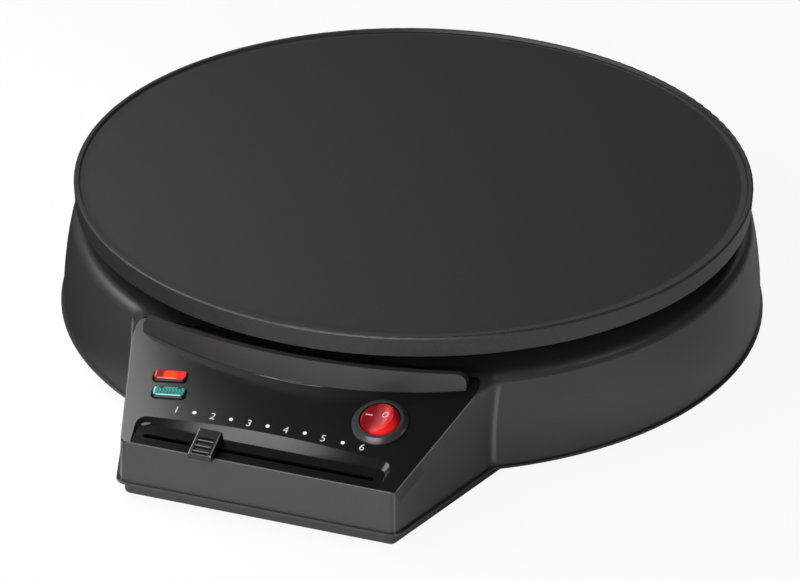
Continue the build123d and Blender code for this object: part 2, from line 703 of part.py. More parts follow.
def pan_screws(points, plane_z, up, shank, head, head_height, length):
    """Pan-head screws at points; their heads seat at plane_z and their shanks run up or down."""
    with BuildPart() as screws:
        with BuildSketch(Plane.XY.offset(plane_z)):
            with Locations(*points):
                Circle(head)
        extrude(amount=-up * head_height)
        outer = screws.edges().filter_by(GeomType.CIRCLE).group_by(Axis.Z)[0 if up > 0 else -1]
        chamfer(outer, head_height / 3)
        with BuildSketch(Plane.XY.offset(plane_z)):
            with Locations(*points):
                Circle(shank)
        extrude(amount=up * length)
    return screws


cover_screws = pan_screws(
    front_posts + deck_posts,
    cover_z + SCREW_RECESS,
    1,
    COVER_SCREW,
    COVER_SCREW_HEAD,
    SCREW_RECESS - SEAT,
    post_z - cover_z - SCREW_RECESS + COVER_SCREW_GRIP,
)


def foot(x, y):
    """Rubber foot: a rounded pad below the cover, a stem through it and a bulb that holds it."""
    with BuildPart() as pad:
        with BuildSketch(Plane(origin=(x, y, 0), x_dir=(1, 0, 0), z_dir=(0, -1, 0))) as profile:
            with BuildLine():
                Polyline(
                    (0, 0),
                    (FOOT_RADIUS - FOOT_TAPER, 0),
                    (FOOT_RADIUS, FOOT_STAND),
                    (FOOT_STEM, FOOT_STAND),
                    (FOOT_STEM, floor_z),
                    (FOOT_BULB, floor_z),
                    (FOOT_STEM, floor_z + FOOT_BULB_HEIGHT),
                    (0, floor_z + FOOT_BULB_HEIGHT),
                    close=True,
                )
            make_face()
            fillet(profile.vertices().group_by(Axis.Y)[0].sort_by(Axis.X)[-1], FOOT_EDGE)
        revolve(axis=Axis((x, y, 0), (0, 0, 1)))
    return pad


feet = {f"foot_{name}": foot(*place) for name, place in foot_places.items()}

# ------------------------------------------------------------------------------------------------
# Cord bushing and its nut
# ------------------------------------------------------------------------------------------------
with BuildPart() as cord_bushing:
    with BuildSketch(inlet_plane):
        Circle(INLET_FLANGE)
    extrude(amount=INLET_FLANGE_HEIGHT)
    fillet(cord_bushing.edges().group_by(Axis.Y)[-1], INLET_FLANGE_HEIGHT / 2)
    with BuildSketch(inlet_plane):
        Circle(INLET_BARREL)
    extrude(amount=-INLET_DEPTH)
    with BuildSketch(inlet_plane.offset(INLET_FLANGE_HEIGHT)):
        Circle(INLET_BORE)
    extrude(amount=-INLET_DEPTH - INLET_FLANGE_HEIGHT, mode=Mode.SUBTRACT)

with BuildPart() as bushing_nut:
    with BuildSketch(inlet_plane.offset(-inlet_grip)):
        RegularPolygon(NUT_ACROSS_FLATS / 2, 6, major_radius=False)
        Circle(INLET_BARREL + FIT, mode=Mode.SUBTRACT)
    extrude(amount=-NUT_HEIGHT)

# ------------------------------------------------------------------------------------------------
# Heating element
# ------------------------------------------------------------------------------------------------
element_z = underside_z - ELEMENT_TUBE - FIT
tail_z = element_z - ELEMENT_BEND - ELEMENT_TAIL
gap_start = -90 + ELEMENT_GAP_ANGLE / 2
loop_angle = 360 - ELEMENT_GAP_ANGLE

with BuildLine() as element_path:
    loop = CenterArc((0, axis_y, element_z), element_r, gap_start, loop_angle)
    for end, way in ((loop @ 0, -(loop % 0)), (loop @ 1, loop % 1)):
        turned = end + way * ELEMENT_BEND - Vector(0, 0, ELEMENT_BEND)
        TangentArc(end, turned, tangent=way)
        Line(turned, Vector(turned.X, turned.Y, tail_z))


def tube(radius):
    """The element's tube as a solid, of the given radius."""
    with BuildPart() as swept:
        with BuildSketch(Plane(element_path.wire() @ 0, z_dir=element_path.wire() % 0)):
            Circle(radius)
        sweep(path=element_path.wire())
    return swept


heating_element = tube(ELEMENT_TUBE)
tail_points = [(v.X, v.Y) for v in element_path.vertices().group_by(Axis.Z)[0]]

with BuildPart() as element_terminals:
    with BuildSketch(Plane.XY.offset(tail_z)):
        with Locations(*tail_points):
            Circle(TERMINAL_PIN)
    extrude(amount=-TERMINAL_PIN_LENGTH)
    with BuildSketch(Plane.XY.offset(tail_z - TERMINAL_PIN_LENGTH)):
        with Locations(*tail_points):
            Rectangle(TAB_WIDTH, TAB_THICKNESS)
    extrude(amount=-TAB_LENGTH)

# ------------------------------------------------------------------------------------------------
# Cooking plate
# ------------------------------------------------------------------------------------------------
shield_z = shoulder_z + SHIELD_SEAT + SHEET
boss_z = shield_z + WASHER_HEIGHT
rim_lean = PLATE_DEPTH * tan(radians(RIM_DRAFT))
sensor_z = underside_z - SENSOR_HEIGHT
bracket_z = sensor_z - THERMOSTAT_HEAD
bracket_points = [(x, spindle_y) for x in (-BRACKET_HOLES / 2, BRACKET_HOLES / 2)]
fixing_points = [round_point(fixing_r, 90 + 360 / FIXINGS * i) for i in range(FIXINGS)]
fuse_point = round_point(plate_r - FUSE_INSET, FUSE_ANGLE)
earth_point = (-fuse_point[0], fuse_point[1])

with BuildPart() as cooking_plate:
    with BuildSketch(section) as plate_profile:
        with BuildLine():
            Polyline(
                (0, underside_z),
                (plate_r - RIM_THICKNESS, underside_z),
                (plate_r - RIM_THICKNESS, rim_z),
                (plate_r - rim_lean, rim_z),
                (plate_r, top_z),
                (cooking_r + LIP_HEIGHT / 2, top_z),
                (cooking_r, cooking_z),
                (0, cooking_z),
                close=True,
            )
        make_face()
        outer_corner = plate_profile.vertices().sort_by(Axis.X)[-1]
        fillet(outer_corner, LIP_EDGE)
    revolve(axis=plate_axis)
    inside = cooking_plate.edges().filter_by(GeomType.CIRCLE).filter_by(
        lambda e: abs(e.center().Z - underside_z) < 0.01)
    fillet(inside, UNDERSIDE_FILLET)
    # channel of the element
    start = Plane(
        origin=(0, axis_y, 0),
        x_dir=(cos(radians(gap_start)), sin(radians(gap_start)), 0),
        z_dir=(sin(radians(gap_start)), -cos(radians(gap_start)), 0),
    )
    with BuildSketch(start):
        with Locations((element_r, (underside_z + element_z) / 2)):
            Rectangle(CHANNEL_WIDTH, underside_z - element_z)
    revolve(axis=plate_axis, revolution_arc=loop_angle)
    add(tube(ELEMENT_TUBE + FIT).part, mode=Mode.SUBTRACT)
    # bosses for the fixings and for the thermostat
    with BuildSketch(Plane.XY.offset(boss_z)):
        with Locations(*fixing_points):
            Circle(BOSS_RADIUS)
    extrude(amount=underside_z - boss_z)
    with BuildSketch(Plane.XY.offset(boss_z)):
        with Locations(*fixing_points):
            Circle(FIXING_SCREW + FIT)
    extrude(amount=FIXING_GRIP + 1, mode=Mode.SUBTRACT)
    with BuildSketch(Plane.XY.offset(bracket_z)):
        with Locations(*bracket_points):
            Circle(BRACKET_BOSS)
    extrude(amount=underside_z - bracket_z)
    with BuildSketch(Plane.XY.offset(bracket_z)):
        with Locations(*bracket_points):
            Circle(SMALL_SCREW + FIT)
    extrude(amount=SMALL_SCREW_GRIP + 1, mode=Mode.SUBTRACT)
    with BuildSketch(Plane.XY.offset(underside_z)):
        with Locations(fuse_point, earth_point):
            Circle(SMALL_SCREW + FIT)
    extrude(amount=PLATE_THICKNESS - 1, mode=Mode.SUBTRACT)

# ------------------------------------------------------------------------------------------------
# Heat shield, washers and screws of the plate
# ------------------------------------------------------------------------------------------------
shield_rim_z = rim_z - SHIELD_RIM_GAP
shield_r = plate_r - SHIELD_INSET
shield_wall_r = shield_r - SHIELD_FLANGE
shield_floor_r = shield_wall_r - SHIELD_LEAN
with BuildPart() as heat_shield:
    with BuildSketch(section):
        with BuildLine():
            Polyline(
                (0, shield_z),
                (0, shield_z - SHEET),
                (shield_floor_r, shield_z - SHEET),
                (shield_wall_r, shield_rim_z - SHEET),
                (shield_r - SHEET, shield_rim_z - SHEET),
                (shield_r - SHEET, shield_rim_z - SHIELD_LIP),
                (shield_r, shield_rim_z - SHIELD_LIP),
                (shield_r, shield_rim_z),
                (shield_wall_r - SHEET, shield_rim_z),
                (shield_floor_r - SHEET, shield_z),
                close=True,
            )
        make_face()
    revolve(axis=plate_axis)
    with BuildSketch(Plane.XY.offset(shield_z - SHEET)):
        with Locations(*fixing_points):
            Circle(FIXING_SCREW + SEAT)
        with Locations(*tail_points):
            Circle(ELEMENT_TUBE + 1)
        with Locations((0, spindle_y)):
            Circle(THERMOSTAT_BODY_RADIUS + 2)
    extrude(amount=SHEET, mode=Mode.SUBTRACT)

with BuildPart() as fixing_washers:
    with BuildSketch(Plane.XY.offset(shield_z)):
        with Locations(*fixing_points):
            Circle(BOSS_RADIUS)
            Circle(FIXING_SCREW + SEAT, mode=Mode.SUBTRACT)
    extrude(amount=WASHER_HEIGHT)

fixing_screws = pan_screws(
    fixing_points, deck_z, 1, FIXING_SCREW, FIXING_HEAD, FIXING_HEAD_HEIGHT, boss_z - deck_z + FIXING_GRIP
)

# ------------------------------------------------------------------------------------------------
# Thermostat: sensor, body, bracket and screws
# ------------------------------------------------------------------------------------------------
body_z = sensor_z - THERMOSTAT_BODY_HEIGHT
bushing_z = body_z - BUSHING_NOSE
with BuildPart() as thermostat_sensor:
    with BuildSketch(upright(0, spindle_y, sensor_z)):
        Circle(SENSOR_RADIUS)
    extrude(amount=SENSOR_HEIGHT)
    chamfer(thermostat_sensor.edges().group_by(Axis.Z)[0], SENSOR_HEIGHT / 3)

with BuildPart() as thermostat_body:
    with BuildSketch(upright(0, spindle_y, bracket_z)):
        Circle(THERMOSTAT_BODY_RADIUS)
    extrude(amount=THERMOSTAT_HEAD)
    with BuildSketch(upright(0, spindle_y, body_z)):
        Circle(THERMOSTAT_BODY_RADIUS - THERMOSTAT_STEP)
    extrude(amount=bracket_z - body_z)
    with BuildSketch(upright(0, spindle_y, body_z)):
        Circle(BUSHING_RADIUS + FIT)
    extrude(amount=BUSHING_SEAT, mode=Mode.SUBTRACT)
    with BuildSketch(Plane.XY.offset(body_z + TAB_LEVEL)):
        with Locations((0, spindle_y)):
            Rectangle(2 * THERMOSTAT_BODY_RADIUS + 2, TAB_WIDTH + 2 * FIT)
            Rectangle(2 * (THERMOSTAT_BODY_RADIUS - TAB_ROOT), TAB_WIDTH + 4, mode=Mode.SUBTRACT)
    extrude(amount=TAB_THICKNESS + 2 * FIT, mode=Mode.SUBTRACT)

with BuildPart() as thermostat_terminals:
    with BuildSketch(Plane.XY.offset(body_z + TAB_LEVEL + FIT)):
        with Locations((0, spindle_y)):
            Rectangle(2 * TAB_REACH, TAB_WIDTH)
            Rectangle(2 * (THERMOSTAT_BODY_RADIUS - TAB_ROOT + FIT), TAB_WIDTH + 4, mode=Mode.SUBTRACT)
    extrude(amount=TAB_THICKNESS)

with BuildPart() as thermostat_bushing:
    with BuildSketch(upright(0, spindle_y, bushing_z)):
        Circle(BUSHING_RADIUS)
        Circle(SPINDLE_RADIUS + RUNNING_FIT, mode=Mode.SUBTRACT)
    extrude(amount=BUSHING_NOSE + BUSHING_SEAT)

with BuildPart() as thermostat_bracket:
    with BuildSketch(upright(0, spindle_y, bracket_z - BRACKET_THICKNESS)):
        Circle(THERMOSTAT_BODY_RADIUS + BRACKET_THICKNESS)
        SlotOverall(BRACKET_LENGTH, BRACKET_WIDTH)
        Circle(THERMOSTAT_BODY_RADIUS - THERMOSTAT_STEP + FIT, mode=Mode.SUBTRACT)
        with Locations((-BRACKET_HOLES / 2, 0), (BRACKET_HOLES / 2, 0)):
            Circle(SMALL_SCREW + FIT, mode=Mode.SUBTRACT)
    extrude(amount=BRACKET_THICKNESS)

thermostat_screws = pan_screws(
    bracket_points,
    bracket_z - BRACKET_THICKNESS,
    1,
    SMALL_SCREW,
    SMALL_HEAD,
    SMALL_HEAD_HEIGHT,
    BRACKET_THICKNESS + SMALL_SCREW_GRIP,
)

# ------------------------------------------------------------------------------------------------
# Spindle, drive pinion and clip
# ------------------------------------------------------------------------------------------------
spindle_bottom = floor_z + SPINDLE_BOTTOM
spindle_top = body_z + BUSHING_SEAT - 1
flat_x = SPINDLE_RADIUS - SPINDLE_FLAT
clip_z = pinion_z - CLIP_THICKNESS - FIT

with BuildPart() as thermostat_spindle:
    with BuildSketch(upright(0, spindle_y, spindle_bottom)):
        Circle(SPINDLE_RADIUS)
    extrude(amount=spindle_top - spindle_bottom)
    chamfer(thermostat_spindle.edges().group_by(Axis.Z)[0], SPINDLE_FLAT)
    with BuildSketch(upright(flat_x + SPINDLE_RADIUS / 2, spindle_y, pinion_z)):
        Rectangle(SPINDLE_RADIUS, 2 * SPINDLE_RADIUS)
    extrude(amount=PINION_WIDTH + PINION_HUB_HEIGHT, mode=Mode.SUBTRACT)
    with BuildSketch(upright(0, spindle_y, clip_z - FIT)):
        Circle(SPINDLE_RADIUS + 1)
        Circle(SPINDLE_RADIUS - CLIP_GROOVE, mode=Mode.SUBTRACT)
    extrude(amount=CLIP_THICKNESS + 2 * FIT, mode=Mode.SUBTRACT)

with BuildPart() as spindle_clip:
    with BuildSketch(upright(0, spindle_y, clip_z)):
        Circle(CLIP_RADIUS)
        Circle(SPINDLE_RADIUS - CLIP_GROOVE + FIT / 2, mode=Mode.SUBTRACT)
        with Locations((0, CLIP_RADIUS / 2 + 1)):
            Rectangle(SPINDLE_RADIUS, CLIP_RADIUS, mode=Mode.SUBTRACT)
    extrude(amount=CLIP_THICKNESS)


def involute(base, radius):
    """Angle by which an involute of the base circle has turned where it reaches radius."""
    turn = acos(min(1.0, base / radius))
    return tan(turn) - turn


pressure = radians(PRESSURE_ANGLE)
base_circle = pinion_r * cos(pressure)
root_r = pinion_r - root_depth
tip_r = pinion_r + MODULE
half_tooth = (pi * MODULE / 2 - BACKLASH / 2) / pinion_r / 2


def flank(radius, side):
    """Point of a tooth's flank at a radius, on one side of a tooth that points along +X."""
    angle = side * (half_tooth + involute(base_circle, pinion_r) - involute(base_circle, radius))
    return (radius * cos(angle), radius * sin(angle))


with BuildPart() as drive_pinion:
    with BuildSketch(Plane(origin=(0, spindle_y, pinion_z), x_dir=(0, -1, 0), z_dir=(0, 0, 1))):
        Circle(root_r)
        with BuildSketch(mode=Mode.PRIVATE) as tooth:
            with BuildLine():
                inner_r = max(root_r, base_circle)
                mid_r = (inner_r + tip_r) / 2
                lower = ThreePointArc(flank(inner_r, -1), flank(mid_r, -1), flank(tip_r, -1))
                upper = ThreePointArc(flank(tip_r, 1), flank(mid_r, 1), flank(inner_r, 1))
                Line(lower @ 1, upper @ 0)
                upper_end = (root_r - MODULE, (upper @ 1).Y)
                lower_end = (root_r - MODULE, (lower @ 0).Y)
                Polyline(upper @ 1, upper_end, lower_end, lower @ 0)
            make_face()
        with PolarLocations(0, PINION_TEETH):
            add(tooth.sketch)
    extrude(amount=PINION_WIDTH)
    with BuildSketch(upright(0, spindle_y, pinion_z + PINION_WIDTH)):
        Circle(PINION_HUB)
    extrude(amount=PINION_HUB_HEIGHT)
    with BuildSketch(upright(0, spindle_y, pinion_z)):
        Circle(SPINDLE_RADIUS + RUNNING_FIT)
        with Locations((flat_x + RUNNING_FIT + SPINDLE_RADIUS / 2, 0)):
            Rectangle(SPINDLE_RADIUS, 2 * SPINDLE_RADIUS + 1, mode=Mode.SUBTRACT)
    extrude(amount=PINION_WIDTH + PINION_HUB_HEIGHT, mode=Mode.SUBTRACT)

# ------------------------------------------------------------------------------------------------
# Slider: knob, and the carriage whose rack turns the pinion
# ------------------------------------------------------------------------------------------------
runner_top = -TRAY_FLOOR - SEAT
stem_width = SLOT_WIDTH - 2 * SEAT
runner_centre = tray.from_local_coords((knob_x, SLOT_PLACE, runner_top))
arm_front_y = runner_centre.Y - ARM_HEIGHT / 2
rack_left = -slide_forward - RACK_MARGIN
rack_right = slide_back + RACK_MARGIN
rack_tooth = (pi * MODULE - BACKLASH) / 2
teeth_from = int(rack_left / tooth_pitch)
teeth_to = int(rack_right / tooth_pitch)

with BuildPart() as slider_carriage:
    # arm, then the web up to the runner, trimmed under the trough
    with BuildSketch(Plane.XY.offset(arm_z)):
        with Locations((knob_x, (arm_front_y + pitch_line_y - root_depth) / 2)):
            Rectangle(ARM_WIDTH, pitch_line_y - root_depth - arm_front_y)
    extrude(amount=ARM_HEIGHT)
    with BuildSketch(Plane.XY.offset(arm_z)):
        with Locations((knob_x, arm_front_y + ARM_HEIGHT / 2)):
            Rectangle(ARM_WIDTH, ARM_HEIGHT)
    extrude(amount=HOUSING_HEIGHT)
    split(bisect_by=tray.offset(runner_top - RUNNER_HEIGHT / 2), keep=Keep.BOTTOM)
    # runner and stem
    with BuildSketch(tray.offset(runner_top)):
        with Locations((knob_x, SLOT_PLACE)):
            Rectangle(RUNNER_LENGTH, RUNNER_WIDTH)
    extrude(amount=-RUNNER_HEIGHT)
    with BuildSketch(tray.offset(runner_top)):
        with Locations((knob_x, SLOT_PLACE)):
            Rectangle(STEM_LENGTH, stem_width)
    extrude(amount=STEM_HEIGHT - runner_top)
    # rack, with a tooth space over the pinion's middle at rest
    with BuildSketch(Plane.XY.offset(rack_z)):
        with Locations(((rack_left + rack_right) / 2, pitch_line_y - root_depth - RACK_BACK / 2)):
            Rectangle(rack_right - rack_left, RACK_BACK)
        lean = tan(pressure)
        for index in range(teeth_from, teeth_to):
            x = (index + 0.5) * tooth_pitch
            with BuildLine():
                Polyline(
                    (x - rack_tooth / 2 - root_depth * lean, pitch_line_y - root_depth),
                    (x + rack_tooth / 2 + root_depth * lean, pitch_line_y - root_depth),
                    (x + rack_tooth / 2 - MODULE * lean, pitch_line_y + MODULE),
                    (x - rack_tooth / 2 + MODULE * lean, pitch_line_y + MODULE),
                    close=True,
                )
            make_face()
    extrude(amount=RACK_HEIGHT)

knob_front = -(KNOB_OVERHANG - SEAT * sin(tray_slope)) / cos(tray_slope)
with BuildPart() as slider_knob:
    with BuildSketch(tray.offset(SEAT)):
        with Locations((knob_x, knob_front + KNOB_LENGTH / 2)):
            Rectangle(KNOB_WIDTH, KNOB_LENGTH)
    extrude(amount=KNOB_HEIGHT + KNOB_LENGTH / 2, taper=KNOB_DRAFT)
    knob_top = on_panel(knob_x, GRIP_PLACE, KNOB_HEIGHT)
    split(bisect_by=knob_top, keep=Keep.BOTTOM)
    fillet(slider_knob.faces().sort_by(Axis(panel.origin, panel.z_dir))[-1].edges(), KNOB_EDGE)
    # finger grip with cross ridges
    grip_width = KNOB_WIDTH - 2 * KNOB_HEIGHT * tan(radians(KNOB_DRAFT)) - 2 * GRIP_MARGIN
    with BuildSketch(knob_top):
        Rectangle(grip_width, GRIP_LENGTH)
    extrude(amount=-GRIP_DEPTH, mode=Mode.SUBTRACT)
    with BuildSketch(knob_top.offset(-GRIP_DEPTH)):
        with GridLocations(0, GRIP_PITCH, 1, GRIP_RIDGES):
            Rectangle(grip_width, GRIP_RIDGE)
    extrude(amount=GRIP_DEPTH - FIT)
    # pocket for the carriage's stem
    with BuildSketch(tray.offset(SEAT)):
        with Locations((knob_x, SLOT_PLACE)):
            Rectangle(STEM_LENGTH + 2 * FIT, stem_width + 2 * FIT)
    extrude(amount=STEM_HEIGHT - SEAT, mode=Mode.SUBTRACT)

# ------------------------------------------------------------------------------------------------
# Rocker switch
# ------------------------------------------------------------------------------------------------
opening_r = ROCKER_RADIUS + ROCKER_GAP
well_z = ROCKER_PIVOT - ROCKER_BOTTOM - ROCKER_RADIUS * sin(radians(ROCKER_TILT)) - SEAT
switch_section = Plane(origin=switch_plane.origin, x_dir=(1, 0, 0), z_dir=-switch_plane.y_dir)

with BuildPart() as switch_body:
    with BuildSketch(switch_section):
        with BuildLine():
            Polyline(
                (0, -SWITCH_DEPTH),
                (SWITCH_BARREL, -SWITCH_DEPTH),
                (SWITCH_BARREL, 0),
                (BEZEL_RADIUS, 0),
                (BEZEL_RADIUS, BEZEL_HEIGHT * 0.3),
                (BEZEL_RADIUS - BEZEL_HEIGHT * 0.3, BEZEL_HEIGHT * 0.55),
                (opening_r + BEZEL_HEIGHT * 0.5, BEZEL_HEIGHT),
                (opening_r, BEZEL_HEIGHT),
                (opening_r, well_z),
                (0, well_z),
                close=True,
            )
        make_face()
    revolve(axis=Axis(switch_plane.origin, switch_plane.z_dir))
    with BuildSketch(switch_section.offset(-SWITCH_BARREL - 1)):
        with Locations((0, ROCKER_PIVOT)):
            Circle(PIVOT_PIN + RUNNING_FIT)
    extrude(amount=2 * SWITCH_BARREL + 2, mode=Mode.SUBTRACT)

tab_plane = switch_plane.offset(-SWITCH_DEPTH)
with BuildPart() as switch_terminals:
    with BuildSketch(tab_plane):
        with Locations(*[(0, TAB_PITCH * i) for i in (-1, 0, 1)]):
            Rectangle(SWITCH_TAB_WIDTH, TAB_THICKNESS)
    extrude(amount=-SWITCH_TAB_LENGTH)

tilt = radians(ROCKER_TILT)
rocker_plane = Plane(
    origin=switch_plane.from_local_coords((0, 0, ROCKER_PIVOT)),
    x_dir=switch_plane.x_dir * cos(tilt) + switch_plane.z_dir * sin(tilt),
    z_dir=switch_plane.z_dir * cos(tilt) - switch_plane.x_dir * sin(tilt),
)
rocker_side = Plane(origin=rocker_plane.origin, x_dir=rocker_plane.x_dir, z_dir=-rocker_plane.y_dir)

with BuildPart() as rocker_button:
    with BuildSketch(rocker_plane.offset(-ROCKER_BOTTOM)):
        Circle(ROCKER_RADIUS)
    extrude(amount=ROCKER_BOTTOM + ROCKER_TOP)
    # its ends are rounded about the pivot, so it clears the bezel at every tilt
    with Locations(rocker_plane):
        Sphere(opening_r - FIT, mode=Mode.INTERSECT)
    with BuildSketch(rocker_side):
        with Locations((0, ROCKER_TOP + ROCKER_DISH - ROCKER_SAG)):
            Circle(ROCKER_DISH)
    extrude(amount=ROCKER_RADIUS + 1, both=True, mode=Mode.SUBTRACT)
    with BuildSketch(rocker_side):
        Circle(PIVOT_PIN)
    extrude(amount=SWITCH_BARREL - FIT, both=True)

# ------------------------------------------------------------------------------------------------
# Pilot lamps: lenses, neon lamps and their holder
# ------------------------------------------------------------------------------------------------


def lens(x, place):
    """Bevelled lens that stands out of the panel, hollow behind, with a flange inside the wall."""
    with BuildPart() as shape:
        with BuildSketch(on_lens(x, place, -WALL)):
            RectangleRounded(LENS_LENGTH, LENS_WIDTH, LENS_CORNER)
        extrude(amount=WALL + LENS_HEIGHT)
        chamfer(shape.faces().sort_by(Axis(panel.origin, panel.z_dir))[-1].edges(), LENS_BEVEL)
        with BuildSketch(on_lens(x, place, -WALL)):
            RectangleRounded(LENS_LENGTH + 2 * LENS_FLANGE, LENS_WIDTH + 2 * LENS_FLANGE, LENS_CORNER)
        extrude(amount=-LENS_FLANGE_HEIGHT)
        with BuildSketch(on_lens(x, place, holder_top)):
            Rectangle(LENS_LENGTH - 2 * LENS_WALL, LENS_WIDTH - 2 * LENS_WALL)
        extrude(amount=-holder_top, mode=Mode.SUBTRACT)
    return shape


def lamp(x, place):
    """Small neon lamp lying along the lens: a glass tube with a rounded end."""
    bed = on_lens(x, place, holder_top - LAMP_RADIUS - FIT)
    start = bed.from_local_coords((-LAMP_LENGTH / 2, 0, 0))
    with BuildPart() as bulb:
        with BuildSketch(Plane(origin=start, x_dir=bed.y_dir, z_dir=bed.x_dir)):
            Circle(LAMP_RADIUS)
        extrude(amount=LAMP_LENGTH)
        fillet(bulb.edges().group_by(Axis(start, bed.x_dir))[-1], LAMP_RADIUS * 0.8)
    return bulb


red_lens = lens(*lens_places["red"])
green_lens = lens(*lens_places["green"])
red_lamp = lamp(*lens_places["red"])
green_lamp = lamp(*lens_places["green"])

with BuildPart() as lamp_holder:
    with BuildSketch(on_lens(*lens_middle, holder_top)):
        Rectangle(holder_length, LENS_PITCH + LENS_WIDTH + 2 * HOLDER_MARGIN)
    extrude(amount=-HOLDER_DEPTH)
    with BuildSketch(on_lens(*lens_middle, holder_top - EAR_DROP)):
        with Locations((-stalk_span / 2, 0), (stalk_span / 2, 0)):
            Circle(STALK_RADIUS)
        Rectangle(stalk_span, 2 * STALK_RADIUS)
        with Locations((-stalk_span / 2, 0), (stalk_span / 2, 0)):
            Circle(STALK_SCREW + FIT, mode=Mode.SUBTRACT)
    extrude(amount=-EAR_THICKNESS)
    for x, place in lens_places.values():
        with BuildSketch(on_lens(x, place, holder_top)):
            Rectangle(LAMP_LENGTH + 2 * FIT, 2 * (LAMP_RADIUS + FIT))
        extrude(amount=-2 * (LAMP_RADIUS + FIT), mode=Mode.SUBTRACT)

holder_plane = on_lens(*lens_middle, holder_top - EAR_DROP - EAR_THICKNESS)
with BuildPart() as holder_screws:
    with BuildSketch(holder_plane):
        with Locations((-stalk_span / 2, 0), (stalk_span / 2, 0)):
            Circle(STALK_RADIUS - FIT)
    extrude(amount=-STALK_SCREW)
    with BuildSketch(holder_plane):
        with Locations((-stalk_span / 2, 0), (stalk_span / 2, 0)):
            Circle(STALK_SCREW - FIT)
    extrude(amount=EAR_THICKNESS + EAR_DROP - 1)

# ------------------------------------------------------------------------------------------------
# Thermal fuse, earth tag and terminal block
# ------------------------------------------------------------------------------------------------
with BuildPart() as thermal_fuse:
    fuse_start = (fuse_point[0] - FUSE_LENGTH / 2, fuse_point[1] - FUSE_OFFSET, underside_z - FUSE_BODY)
    with BuildSketch(Plane(origin=fuse_start, x_dir=(0, 1, 0), z_dir=(1, 0, 0))):
        Circle(FUSE_BODY)
    extrude(amount=FUSE_LENGTH)
    chamfer(thermal_fuse.edges().filter_by(GeomType.CIRCLE), FUSE_BODY / 3)

with BuildPart() as fuse_clip:
    clip_plane = Plane(origin=fuse_point + (underside_z,), x_dir=(0, 1, 0), z_dir=(1, 0, 0))
    with BuildSketch(clip_plane):
        with Locations((-FUSE_OFFSET, -FUSE_BODY)):
            Circle(FUSE_BODY + FIT + SHEET)
        with Locations((CLIP_REACH, -SHEET)):
            Rectangle(FUSE_OFFSET + CLIP_REACH, SHEET, align=(Align.MAX, Align.MIN))
        with Locations((-FUSE_OFFSET, -FUSE_BODY)):
            Circle(FUSE_BODY + FIT, mode=Mode.SUBTRACT)
        with Locations((0, FUSE_BODY)):
            Rectangle(6 * CLIP_REACH, 2 * FUSE_BODY, mode=Mode.SUBTRACT)
    extrude(amount=CLIP_REACH, both=True)
    with BuildSketch(Plane.XY.offset(underside_z - SHEET)):
        with Locations(fuse_point):
            Circle(SMALL_SCREW + FIT)
    extrude(amount=SHEET, mode=Mode.SUBTRACT)

with BuildPart() as earth_tag:
    with BuildSketch(upright(*earth_point, underside_z - SHEET)):
        Circle(CLIP_REACH)
        with Locations((0, -CLIP_REACH - TAB_LENGTH / 2)):
            Rectangle(TAB_WIDTH, TAB_LENGTH + CLIP_REACH)
        Circle(SMALL_SCREW + FIT, mode=Mode.SUBTRACT)
    extrude(amount=SHEET)

plate_screws = pan_screws(
    [fuse_point, earth_point],
    underside_z - SHEET,
    1,
    SMALL_SCREW,
    SMALL_HEAD,
    SMALL_HEAD_HEIGHT,
    PLATE_THICKNESS - 1 + SHEET - SEAT,
)

block_x = BLOCK_INSET - plate_r
block_y = axis_y + BLOCK_BACK
with BuildPart() as terminal_block:
    with BuildSketch(upright(block_x, block_y, floor_z)):
        Rectangle(BLOCK_LENGTH, BLOCK_WIDTH)
    extrude(amount=BLOCK_HEIGHT)
    fillet(terminal_block.edges().filter_by(Axis.Z), BLOCK_EDGE)
    for i in (-1, 0, 1):
        wire_plane = Plane(
            origin=(block_x + i * BLOCK_PITCH, block_y, floor_z + BLOCK_HEIGHT / 2),
            x_dir=(1, 0, 0),
            z_dir=(0, 1, 0),
        )
        with BuildSketch(wire_plane):
            Circle(BLOCK_BORE)
        extrude(amount=BLOCK_WIDTH, both=True, mode=Mode.SUBTRACT)
        with BuildSketch(upright(block_x + i * BLOCK_PITCH, block_y, floor_z + BLOCK_HEIGHT)):
            with Locations((0, -BLOCK_WIDTH / 4), (0, BLOCK_WIDTH / 4)):
                Circle(BLOCK_SCREW + FIT)
        extrude(amount=-BLOCK_HEIGHT / 2, mode=Mode.SUBTRACT)

with BuildPart() as block_screws:
    with BuildSketch(Plane.XY.offset(floor_z + BLOCK_HEIGHT / 2 + BLOCK_BORE)):
        with Locations(*[
            (block_x + i * BLOCK_PITCH, block_y + j * BLOCK_WIDTH / 4) for i in (-1, 0, 1) for j in (-1, 1)
        ]):
            Circle(BLOCK_SCREW)
    extrude(amount=BLOCK_HEIGHT / 2 - BLOCK_BORE - 1)

